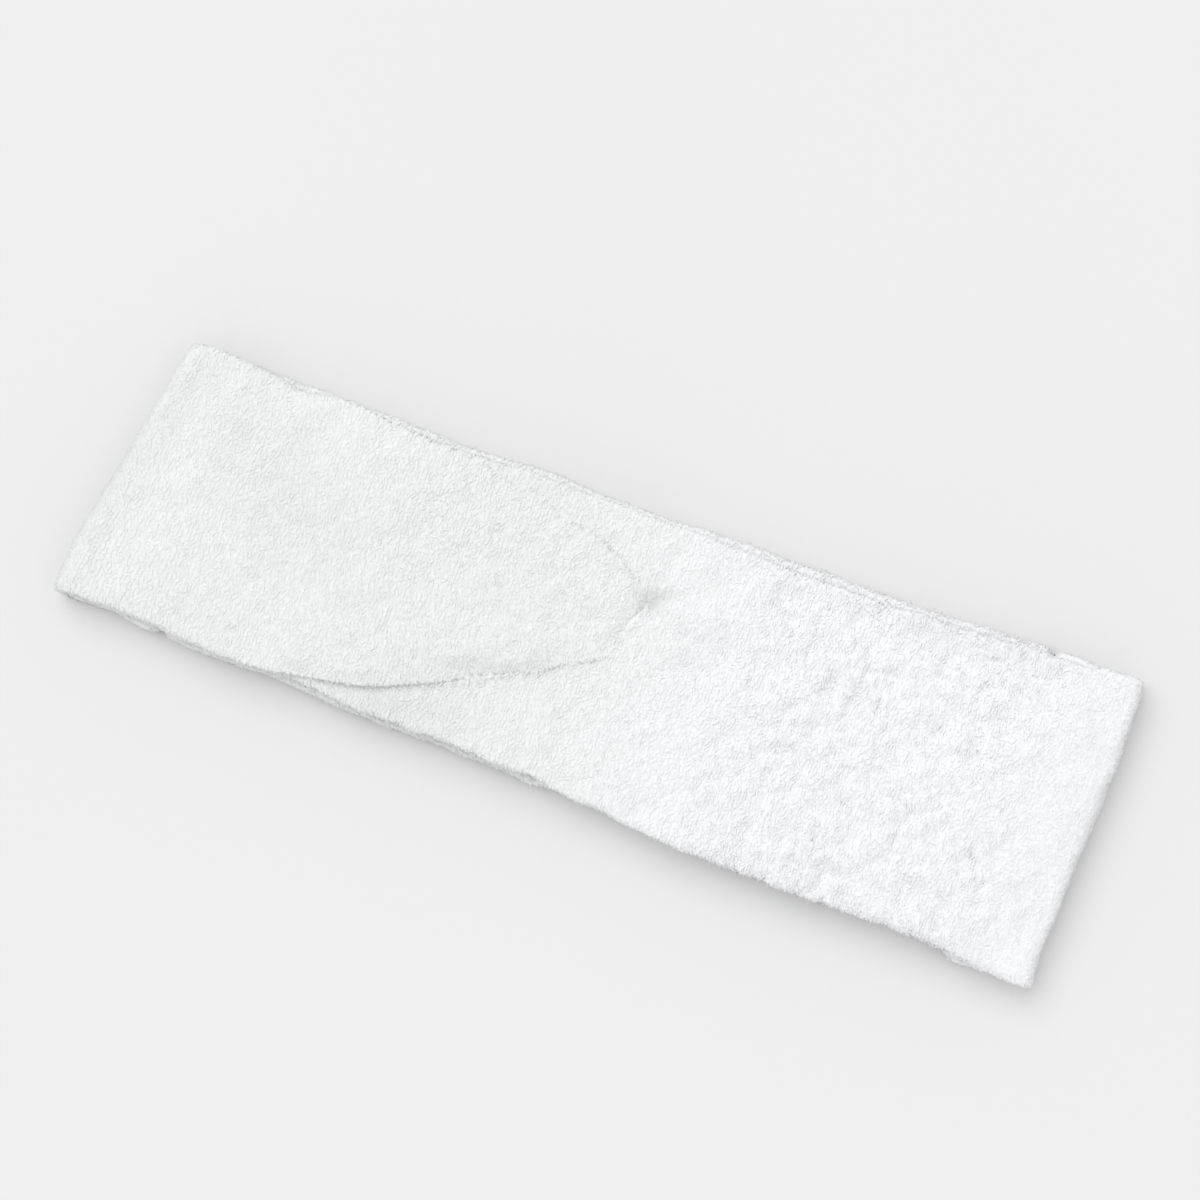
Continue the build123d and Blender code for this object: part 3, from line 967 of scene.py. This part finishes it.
def end_weights(rows):
    """Weights along the cloth's path round a rolled end: 0 in front, 1 at the back."""
    length = FOLD_X - JOIN_X
    path = np.select(
        [rows.kind == "front", rows.kind == "fold", rows.kind == "back"],
        [(rows.share - 1) * length, rows.angle / math.pi * ROLL_ARC,
         ROLL_ARC + (1 - rows.share) * length], -100.0)
    return rise(path, -7.5, ROLL_ARC + 15.0)


def front_motions(side):
    """Bodies and weight function of one half's bend, side and end; ends use end_weights."""
    inner, outer = f"front_{side}_inner", f"front_{side}_outer"
    return ((("twist", inner), bend_weight), ((inner, outer), stretch_weight),
            ((outer, f"back_{side}_outer"), None))


TWIST = (("twist",), None)
LEFT_BEND, LEFT_SIDE, LEFT_END = front_motions("left")
RIGHT_BEND, RIGHT_SIDE, RIGHT_END = front_motions("right")

# zone: (motion, endings of the frame nodes that it replaces)
LEFT_ZONES = {
    "return_side": (LEFT_SIDE, ("return",)),
    "return_bend": (LEFT_BEND, ("return",)),
    "tuck": (TWIST, ("twist",)),
    "front_bend": (LEFT_BEND, ("front",)),
    "front_side": (LEFT_SIDE, ("front", "side")),
    "end": (LEFT_END, ("side", "tail")),
}
RIGHT_ZONES = {
    "link_side": (LEFT_SIDE, ("link",)),
    "link_bend": (LEFT_BEND, ("link",)),
    "centre": (TWIST, ("twist",)),
    "front_bend": (RIGHT_BEND, ("front",)),
    "front_side": (RIGHT_SIDE, ("front", "side")),
    "end": (RIGHT_END, ("side", "tail")),
}
BACK_ZONES = {
    "left_side": ((("back_left_outer", "back_left_inner"), back_stretch_weight),
                  ("left_end", "left")),
    "left_bend": ((("back_left_inner", "back_centre_left"), back_bend_weight), ("left",)),
    "centre": ((("back_centre_left",), None), ("centre_left", "centre_right")),
    "right_bend": ((("back_right_inner", "back_centre_right"), back_bend_weight),
                   ("right",)),
    "right_side": ((("back_right_outer", "back_right_inner"), back_stretch_weight),
                   ("right_end", "right")),
}


def build_zones(strip, prefix, zones, material, piles=()):
    """One object for each zone of a strip."""
    for zone, ((bodies, weight), endings) in zones.items():
        if zone == "end":
            weights = end_weights(strip.rows)
        elif weight is None:
            weights = np.zeros(len(strip.rows.x))
        else:
            weights = weight(np.abs(strip.rows.x))
        first, last = strip.zone_range(zone)
        build_piece(strip, f"{prefix}_{zone}", first, last, bodies, weights, material,
                    [f"{prefix}_{ending}" for ending in endings], piles)


# ---------------------------------------------------------------- material helpers
def set_inputs(tree, node, inputs):
    """Links inputs given as sockets, and sets the others."""
    for key, value in inputs.items():
        if isinstance(value, bpy.types.NodeSocket):
            tree.links.new(value, node.inputs[key])
        else:
            node.inputs[key].default_value = value


def add_node(tree, kind, inputs, **settings):
    node = tree.nodes.new("ShaderNode" + kind)
    for key, value in settings.items():
        setattr(node, key, value)
    set_inputs(tree, node, inputs)
    return node


def new_material(name):
    material = bpy.data.materials.new(name)
    material.use_nodes = True
    tree = material.node_tree
    return material, tree, tree.nodes["Principled BSDF"]


def cloth_coords(tree, scale=1.0):
    """Coordinates in mm that stay with the cloth."""
    rest = add_node(tree, "Attribute", {}, attribute_name="rest_mm")
    return add_node(tree, "Mapping", {"Scale": (scale,) * 3,
                                      "Vector": rest.outputs["Vector"]}).outputs["Vector"]


def noise_texture(tree, coords, scale, detail=3.0, roughness=0.55):
    return add_node(tree, "TexNoise", {"Scale": scale, "Detail": detail, "Vector": coords,
                                       "Roughness": roughness}).outputs["Fac"]


def grey(value):
    return (value, value, value)


def colour_ramp(tree, factor, stops):
    """stops: (position, colour), in order."""
    node = add_node(tree, "ValToRGB", {"Fac": factor})
    elements = node.color_ramp.elements
    for i, (position, colour) in ((0, stops[0]), (1, stops[-1])):
        elements[i].position = position
        elements[i].color = (*colour, 1)
    for position, colour in stops[1:-1]:
        elements.new(position).color = (*colour, 1)
    return node.outputs["Color"]


def multiply_colours(tree, first, second):
    # a mix node's inputs 6 and 7 and output 2 are its colour sockets
    return add_node(tree, "Mix", {0: 1.0, 6: first, 7: second},
                    data_type="RGBA", blend_type="MULTIPLY").outputs[2]


def bump(tree, height, strength, distance, below=None):
    """distance is in metres."""
    inputs = {"Strength": strength, "Distance": distance, "Height": height}
    if below is not None:
        inputs["Normal"] = below
    return add_node(tree, "Bump", inputs).outputs["Normal"]


# ---------------------------------------------------------------- terry
# Painted shade on the cloth: soft elliptical spots that darken the colour where folds, hollows and rolled
# ends fall into shade. Centre and radii in mm, angle about Z, the colour at the core, and the share of the
# radius that the core fills.
TERRY_PAINTED_SHADES = (
    # painted shade along the high edge of the right part
    dict(centre=(78.0, 35.5, 12.0), angle=0.05, radii=(62.0, 8.0, 8.0),
         shade=grey(0.935), core=0.2),
    # painted shade along the tongue's high edge
    dict(centre=(-5.0, 21.5, 12.0), angle=math.atan2(-0.45, 0.89), radii=(24.0, 6.5, 8.0),
         shade=(0.965, 0.97, 0.97), core=0.0),
    # painted shade by the low edge, left of the centre
    dict(centre=(-42.0, -29.5, 11.0), angle=0.15, radii=(26.0, 6.0, 7.0),
         shade=grey(0.93), core=0.1),
    # painted shade in the dimple, wide and narrow
    dict(centre=(7.3, 14.9, 11.0), angle=math.atan2(0.84, 0.55), radii=(6.0, 4.8, 7.0),
         shade=(0.88, 0.89, 0.885), core=0.15),
    dict(centre=(6.9, 15.0, 11.0), angle=math.atan2(0.84, 0.55), radii=(3.2, 2.5, 7.0),
         shade=(0.91, 0.915, 0.91), core=0.3),
    # painted shade in the broad hollow on the left part
    dict(centre=(-82.0, 9.0, 10.0), angle=math.atan2(0.50, -0.83), radii=(40.0, 17.0, 80.0),
         shade=(0.962, 0.972, 0.966), core=0.0),
    # painted shade on the left rolled end
    dict(centre=(-127.0, 2.0, 8.0), angle=math.atan2(1.0, 0.16), radii=(55.0, 16.0, 80.0),
         shade=(0.895, 0.895, 0.897), core=0.2),
)


# Multiplies the colour by a painted shade that fades from its core out to the radii.
def painted_shade_spot(tree, coords, colour, centre, angle, radii, shade, core):
    inside = add_node(tree, "Mapping", {"Location": centre, "Rotation": (0.0, 0.0, angle),
                                        "Scale": radii, "Vector": coords},
                      vector_type="TEXTURE")
    distance = add_node(tree, "VectorMath", {0: inside.outputs["Vector"]},
                        operation="LENGTH")
    halfway = tuple((1 + channel) / 2 for channel in shade)
    stops = [(core, shade), (0.35 + 0.65 * core, halfway), (1.0, grey(1.0))]
    spot = colour_ramp(tree, distance.outputs["Value"], stops)
    return multiply_colours(tree, colour, spot)


def terry_material(name, left_shaded_tint, right_lit_tint):
    material, tree, bsdf = new_material(name)
    coords = cloth_coords(tree)

    # painted light: the tint brightens from left to right as the light across the band does, with broad
    # random variation
    broad = noise_texture(tree, coords, scale=0.06, detail=2.0)
    axes = add_node(tree, "SeparateXYZ", {0: coords})
    along = add_node(tree, "MapRange", {"From Min": -30.0, "From Max": 70.0,
                                        "Value": axes.outputs["X"]})
    painted_light_drift = add_node(tree, "Math", {0: broad, 1: 0.35, 2: along.outputs["Result"]},
                     operation="MULTIPLY_ADD")
    tint = colour_ramp(tree, painted_light_drift.outputs[0], [(0.15, left_shaded_tint), (1.0, right_lit_tint)])
    fine = noise_texture(tree, coords, scale=0.75, detail=4.0, roughness=0.6)
    flecks = colour_ramp(tree, fine, [(0.25, (0.93, 0.93, 0.935)), (0.6, grey(1.0))])
    colour = multiply_colours(tree, tint, flecks)
    # painted shade: each spot above darkens the colour
    for spot in TERRY_PAINTED_SHADES:
        colour = painted_shade_spot(tree, coords, colour, **spot)

    rough = add_node(tree, "MapRange", {"Value": fine, "To Min": 0.86, "To Max": 1.0})
    yarn = noise_texture(tree, cloth_coords(tree, 3.0), scale=1.6, roughness=0.7)
    nubs = add_node(tree, "TexVoronoi", {"Scale": 1.1, "Vector": coords})
    relief = bump(tree, nubs.outputs["Distance"], strength=0.35, distance=0.0005)
    relief = bump(tree, yarn, strength=0.55, distance=0.00025, below=relief)
    set_inputs(tree, bsdf, {
        "Base Color": colour,
        "Roughness": rough.outputs["Result"],
        "Normal": relief,
        "Sheen Weight": 0.3,
        "Sheen Roughness": 0.6,
        "Specular IOR Level": 0.15,
    })
    return material


# ---------------------------------------------------------------- woven materials
def woven_material(name, waves, stops, relief, roughness, sheen=None):
    """Stripes of thread. waves: settings of one wave texture, or of two to multiply."""
    material, tree, bsdf = new_material(name)
    coords = cloth_coords(tree)
    stripes = [add_node(tree, "TexWave", {"Vector": coords} | inputs,
                        bands_direction=direction).outputs["Fac"]
               for direction, inputs in waves]
    pattern = stripes[0]
    if len(stripes) == 2:
        pattern = add_node(tree, "Math", {0: stripes[0], 1: stripes[1]},
                           operation="MULTIPLY").outputs[0]
    set_inputs(tree, bsdf, {"Base Color": colour_ramp(tree, pattern, stops),
                            "Normal": bump(tree, pattern, **relief),
                            "Roughness": roughness})
    if sheen is not None:
        set_inputs(tree, bsdf, {"Sheen Weight": sheen})
    return material


# the darker left tint and brighter right tint are painted light across the band
TERRY = terry_material("terry_white", left_shaded_tint=(0.842, 0.852, 0.847),
                       right_lit_tint=(0.924, 0.928, 0.940))
BACK_TERRY = terry_material("terry_white_back", left_shaded_tint=(0.885, 0.890, 0.893),
                            right_lit_tint=(0.915, 0.918, 0.928))
THREAD = woven_material(
    "sewing_thread",
    waves=[("DIAGONAL", {"Scale": 2.6, "Distortion": 0.6})],
    stops=[(0.1, grey(0.70)), (0.7, grey(0.88))],
    relief=dict(strength=0.6, distance=0.0001), roughness=0.55, sheen=0.2)
ELASTIC = woven_material(
    "woven_elastic",
    waves=[("Y", {"Scale": 0.95}), ("X", {"Scale": 2.2})],
    stops=[(0.0, (0.62, 0.62, 0.61)), (0.6, (0.82, 0.82, 0.81))],
    relief=dict(strength=0.7, distance=0.0002), roughness=0.5)
LABEL = woven_material(
    "label_tape",
    waves=[("X", {"Scale": 1.9})],
    stops=[(0.0, (0.84, 0.84, 0.82)), (1.0, (0.90, 0.90, 0.88))],
    relief=dict(strength=0.4, distance=0.0001), roughness=0.42, sheen=0.3)


# ---------------------------------------------------------------- where the pile grows
def left_outer_pile(spot):
    if spot.kind == "under":
        return np.abs(spot.face) < 0.8
    if spot.kind == "turn":
        return (spot.face > -0.2) & (spot.angle < 1.6)
    if spot.kind == "plain":
        lowest = np.where(spot.x > -84, -0.6, -0.2)
        return (spot.face > lowest) & (dimple(spot.x, spot.y) < 0.75)
    return spot.face > -0.2


def right_outer_pile(spot):
    kept = spot.face > -0.2
    if spot.kind == "plain" and spot.x[0] < 12:
        kept &= (tongue_distance(spot.x, spot.y) > -1.5) | (spot.face < 0.4)
        kept &= dimple(spot.x, spot.y) < 0.75
    return kept


def back_outer_pile(spot):
    near_edge = (spot.y < low_edge(spot.x) + 3.0) | (spot.y > top_edge(spot.x) - 2.4)
    return (spot.face > -0.2) | near_edge


def left_inner_pile(spot):
    if spot.kind == "under":
        return spot.face > -0.3
    if spot.kind == "turn":
        return np.zeros(len(spot.x), bool)
    inner = spot.face < -0.2
    if spot.kind == "plain":
        inner &= spot.x < -88
    return inner if spot.kind in ("plain", "front", "back") else inner & False


def right_inner_pile(spot):
    if spot.kind in ("front", "back") or (spot.kind == "plain" and spot.x[0] > 12):
        return spot.face < -0.2
    return np.zeros(len(spot.x), bool)


def back_inner_pile(spot):
    return spot.face < -0.2


def fringe(spot):
    """Loose yarn ends that stand out along both long edges, clear of the join seams."""
    if spot.kind in ("under", "turn"):
        return np.zeros(len(spot.x), bool)
    clear = np.abs(np.abs(spot.x) - JOIN_X) > 2.5
    at_edge = (spot.y < low_edge(spot.x) + 1.6) | (spot.y > top_edge(spot.x) - 1.2)
    return at_edge & (spot.face > -0.75) & clear


OUTER_LOOP = dict(height=0.33, width=1.0, radius=0.27)
INNER_LOOP = dict(height=0.40, width=1.1, radius=0.30)
FRINGE_LOOP = dict(height=1.15, width=0.28, radius=0.055)


def terry_piles(strip, outer, inner, seed, spacing=1.0):
    """The pile of both faces and the fringe; spacing widens the outer pile's pitch."""
    layers = ((PILE_PITCH * spacing, outer, OUTER_LOOP, seed),
              (INNER_PITCH, inner, INNER_LOOP, seed + 7),
              (FRINGE_PITCH, fringe, FRINGE_LOOP, seed + 13))
    return [(pile_points(strip, pitch, keep, layer_seed), size, layer_seed)
            for pitch, keep, size, layer_seed in layers]


# ---------------------------------------------------------------- the three terry strips
left = Strip(left_rows(), shape_left)
finish_cloth(left, left_pins, dict(pressure=3.0, growth=0.05, cap=0.9),
             dict(seed=101, broad=1.0, cleft=0.0, outside=1.0, inside=0.45))
right = Strip(right_rows(), shape_right)
finish_cloth(right, right_pins, dict(pressure=3.0, growth=0.05, cap=0.9),
             dict(seed=201, broad=1.0, cleft=1.0, outside=1.0, inside=0.45))
back = Strip(back_rows(), shape_back)
finish_cloth(back, back_pins, dict(pressure=2.0, growth=0.06, cap=0.6),
             dict(seed=301, broad=0.5, cleft=0.0, outside=0.7, inside=0.5))

build_zones(left, "left_strand", LEFT_ZONES, TERRY,
            terry_piles(left, left_outer_pile, left_inner_pile, seed=401))
build_zones(right, "right_strand", RIGHT_ZONES, TERRY,
            terry_piles(right, right_outer_pile, right_inner_pile, seed=501))
build_zones(back, "back_panel", BACK_ZONES, BACK_TERRY,
            terry_piles(back, back_outer_pile, back_inner_pile, seed=601, spacing=1.3))


# ---------------------------------------------------------------- elastic
ELASTIC_HALF = elastic_max.y / MM
ELASTIC_LOW, ELASTIC_TOP = elastic_min.z / MM, elastic_max.z / MM
RIB_PITCH = 1.9


def elastic_rows():
    return columns([dict(kind="plain", zone=zone, x=x, low=-ELASTIC_HALF, high=ELASTIC_HALF,
                         inner=ELASTIC_LOW, outer=ELASTIC_TOP)
                    for zone, x in back_xs(JOIN_X - 0.9)])


def shape_elastic(strip):
    """Ribs along the elastic."""
    strip.height += np.sign(strip.face) * 0.06 * np.sin(strip.y * 2 * math.pi / RIB_PITCH)


build_zones(Strip(elastic_rows(), shape_elastic), "elastic", BACK_ZONES, ELASTIC)


# ---------------------------------------------------------------- thread
def tube(points, radius):
    """Round thread along points: vertices, normals, quads and triangles."""
    points = np.asarray(points, float)
    along = unit(np.gradient(points, axis=0))
    across = unit(np.cross(along, np.array([0.13, 0.21, 0.97])))
    above = np.cross(along, across)
    angle = np.arange(THREAD_SIDES) * 2 * math.pi / THREAD_SIDES
    outward = (np.cos(angle)[None, :, None] * across[:, None]
               + np.sin(angle)[None, :, None] * above[:, None])
    index = np.arange(len(points) * THREAD_SIDES).reshape(-1, THREAD_SIDES)
    vertices = np.concatenate([
        (points[:, None] + radius * outward).reshape(-1, 3),
        points[:1] - along[:1] * radius * 0.5,
        points[-1:] + along[-1:] * radius * 0.5])
    normals = np.concatenate([outward.reshape(-1, 3), -along[:1], along[-1:]])
    start, end = index.size, index.size + 1
    first, last = index[0], index[-1]
    triangles = [[start, first[(j + 1) % THREAD_SIDES], first[j]]
                 for j in range(THREAD_SIDES)]
    triangles += [[end, last[j], last[(j + 1) % THREAD_SIDES]] for j in range(THREAD_SIDES)]
    return vertices, normals, ring_quads(index), np.array(triangles)


def build_thread(name, tubes, bodies, weights, nodes):
    """One object from several tubes."""
    offsets = np.cumsum([0] + [len(part[0]) for part in tubes])
    vertices, normals = (np.concatenate([part[i] for part in tubes]) for i in (0, 1))
    polygons = [np.concatenate([part[i] + at for part, at in zip(tubes, offsets)])
                for i in (2, 3)]
    ob = new_object(name, vertices, normals, polygons, THREAD)
    hand_over(ob, bodies, weights, nodes)


def face_point(strip, zone, x, y, face):
    """Point and normal on the outer (1) or inner (-1) face near a nominal x."""
    first, last = strip.zone_range(zone)
    kinds = strip.rows.kind[first:last + 1]
    wanted = "under" if "under" in kinds else kinds[-1]
    station_x = np.where(kinds == wanted, strip.rows.x[first:last + 1], 1e9)
    i = first + int(np.argmin(np.abs(station_x - x)))
    on_face = np.nonzero(strip.face[i] * face > 0.95)[0]
    j = on_face[int(np.argmin(np.abs(strip.points[i, on_face, 1] - y)))]
    return np.array([x, y, strip.points[i, j, 2]]), strip.normals[i, j]


STITCH_PITCH, STITCH_HALF, STITCH_RADIUS = 2.9, 1.0, 0.27


def build_seam(name, strip, zone, x_range, y, face, motion, nodes):
    """A row of lockstitches along the band on one face of a strip."""
    bodies, weight = motion
    x_start, x_end = x_range
    count = max(1, int(abs(x_end - x_start) / STITCH_PITCH))
    stitches, weights = [], []
    for i in range(count):
        x = x_start + (i + 0.5) / count * (x_end - x_start)
        stitch_y = y + 0.12 * float(noise_along(x, 3, 7))
        points = []
        for t in np.linspace(-1, 1, 7):
            point, normal = face_point(strip, zone, x + t * STITCH_HALF, stitch_y, face)
            points.append(point + normal * (0.12 + 0.34 * (1 - t ** 4) - 0.22))
        stitches.append(tube(points, STITCH_RADIUS))
        blend = 0.0 if weight is None else float(weight(abs(x)))
        weights.append(np.full(len(stitches[-1][0]), blend))
    build_thread(name, stitches, bodies, np.concatenate(weights), nodes)


# strip, name prefix, y, face, zones, then (name part, zone, x range, endings of the nodes)
BACK_SEAM_X = {"left_side": (-97, -BEND_END), "left_bend": (-BEND_END, -BEND_START),
               "centre": (-BEND_START, BEND_START), "right_bend": (BEND_START, BEND_END),
               "right_side": (BEND_END, 97)}
SEAMS = (
    (left, "left_strand_seam", 8, 1, LEFT_ZONES, (
        ("tuck", "tuck", (-BEND_START, -3), ("twist",)),
        ("bend", "return_bend", (-BEND_END, -BEND_START), ("twist", "inner")),
        ("side", "return_side", (-83, -BEND_END), ("inner", "outer")))),
    (right, "right_strand_seam", 0, -1, RIGHT_ZONES, (
        ("centre", "centre", (13, BEND_START), ("twist",)),
        ("bend", "front_bend", (BEND_START, BEND_END), ("twist", "inner")),
        ("side", "front_side", (BEND_END, 99), ("inner", "outer")))),
    (back, "back_panel_seam", -26, -1, BACK_ZONES, [
        (zone, zone, x_range, BACK_ZONES[zone][1])
        for zone, x_range in BACK_SEAM_X.items()]),
)
for strip, prefix, y, face, zones, parts in SEAMS:
    for part, zone, x_range, endings in parts:
        build_seam(f"{prefix}_{part}_thread", strip, zone, x_range, y, face,
                   zones[zone][0], [f"{prefix}_{ending}" for ending in endings])


def zigzag(x, y_start, y_end, z, width, pitch, radius, dip=0.0):
    """Zigzag thread along Y; its points lie dip higher than its middle."""
    count = int((y_end - y_start) / pitch)
    points = []
    for i in range(count * 4 + 1):
        t = i / 4
        swing = 1 - 2 * abs((t % 1) * 2 - 1)
        points.append((x + width / 2 * swing, y_start + (y_end - y_start) * t / count,
                       z + dip * abs(swing)))
    return tube(points, radius)


def build_join(side, sign):
    """Zigzags below and above the join, a cord between them, and the elastic's tack."""
    x = sign * JOIN_X
    y_start, y_end = back_low(x, BACK_SEED) + 1.5, back_high(x, BACK_SEED) - 1.5
    cord = [(x, y, 2.6 + 0.05 * math.sin(y * 2.1)) for y in np.arange(y_start, y_end, 0.6)]
    tubes = [
        zigzag(x, y_start, y_end, z=0.42, width=4.2, pitch=1.7, radius=0.26, dip=0.12),
        zigzag(x + 0.5, y_start, y_end, z=5.35, width=4.0, pitch=1.9, radius=0.24, dip=0.05),
        tube(cord, radius=0.5)]
    bodies = (f"back_{side}_outer",)
    build_thread(f"{side}_join_seam_thread", tubes, bodies, None, [f"{side}_join_seam"])
    tack = zigzag(x - sign * 3.5, -16, 16, z=ELASTIC_TOP + 0.18, width=1.6, pitch=1.6,
                  radius=0.14)
    build_thread(f"elastic_{side}_tack_thread", [tack], bodies, None,
                 [f"elastic_{side}_tack"])


build_join("left", -1)
build_join("right", 1)


# ---------------------------------------------------------------- care label
def label_rows():
    return columns([dict(kind="plain", zone="label", x=x,
                         low=label_min.y / MM, high=label_max.y / MM,
                         inner=label_min.z / MM, outer=label_max.z / MM)
                    for x in np.linspace(label_min.x / MM, label_max.x / MM, 22)])


def shape_label(strip):
    """A slight wave, and fine ribs on both faces."""
    x, y, face = strip.x, strip.y, strip.face
    strip.height += 0.10 * np.sin((x + 92) * 0.35) + 0.05 * np.sin(y * 0.8 + x * 0.3)
    strip.height += np.where(np.abs(face) > 0.5, np.sign(face) * 0.03 * np.sin(x * 2.4), 0)


label = Strip(label_rows(), shape_label, flat=18, edge=5)
label_count = len(label.rows.x)
build_piece(label, "care_label_tape", 0, label_count - 1, ("back_left_outer",),
            np.zeros(label_count), LABEL, ["care_label"])


# ---------------------------------------------------------------- table, light and camera
# Lengths in metres from here on.
TABLE_HALF = 6.0
LOOK_AT = Vector((-0.00517, 0.01115, 0.009))
VIEW_WIDTH = 0.2827                    # across the picture, at the height of LOOK_AT


def build_floor():
    mesh = bpy.data.meshes.new("floor")
    s = TABLE_HALF
    mesh.from_pydata([(-s, -s, 0), (s, -s, 0), (s, s, 0), (-s, s, 0)], [], [(0, 1, 2, 3)])
    material, tree, bsdf = new_material("paper")
    coords = add_node(tree, "TexCoord", {}).outputs["Object"]
    mottle = noise_texture(tree, coords, scale=3.0, detail=2.0)
    set_inputs(tree, bsdf, {
        "Base Color": colour_ramp(tree, mottle, [(0.3, grey(0.735)), (0.7, grey(0.745))]),
        "Roughness": 0.95,
        "Specular IOR Level": 0.1,
    })
    mesh.materials.append(material)
    ob = bpy.data.objects.new("floor", mesh)
    bpy.context.scene.collection.objects.link(ob)
    # the table stays under the lowest part of the loop when it opens out
    stand = ob.constraints.new("COPY_LOCATION")
    stand.target = frame["bodies"]["back_centre_left"]
    stand.use_x = stand.use_y = False


def build_world(scene):
    scene.view_settings.view_transform = "Standard"
    scene.view_settings.look = "None"
    scene.view_settings.exposure = 0.0
    scene.view_settings.gamma = 1.0
    world = bpy.data.worlds.new("studio")
    scene.world = world
    world.use_nodes = True
    background = world.node_tree.nodes["Background"]
    background.inputs["Color"].default_value = (1.0, 1.0, 1.0, 1)
    background.inputs["Strength"].default_value = 0.80


def build_key_light(scene, direction, angle, strength):
    """A wide soft light from far away, the same over the whole table."""
    light = bpy.data.lights.new("key", "SUN")
    light.energy = strength
    light.angle = angle
    ob = bpy.data.objects.new("key", light)
    ob.location = LOOK_AT + direction.normalized() * 2.0
    ob.rotation_mode = "QUATERNION"
    ob.rotation_quaternion = (-direction).to_track_quat("-Z", "Y")
    scene.collection.objects.link(ob)


def build_camera(scene):
    """Looks straight down, turned about Z."""
    data = bpy.data.cameras.new("camera")
    data.lens = 100.0
    data.sensor_width = 36.0
    data.clip_start = 0.01
    data.clip_end = 20
    ob = bpy.data.objects.new("camera", data)
    scene.collection.objects.link(ob)
    distance = VIEW_WIDTH / 2 / (data.sensor_width / 2 / data.lens)
    right_axis = Vector((0.9355, 0.3534, 0.0)).normalized()
    up_axis = Vector((-right_axis.y, right_axis.x, 0.0))
    turn = Matrix((right_axis, up_axis, Vector((0, 0, 1)))).transposed()
    position = Matrix.Translation(LOOK_AT + Vector((0, 0, distance)))
    ob.matrix_world = position @ turn.to_4x4()
    scene.camera = ob


build_floor()
build_world(bpy.context.scene)
build_key_light(bpy.context.scene, direction=Vector((-0.50, 0.34, 1.0)), angle=0.85,
                strength=1.36)
build_camera(bpy.context.scene)
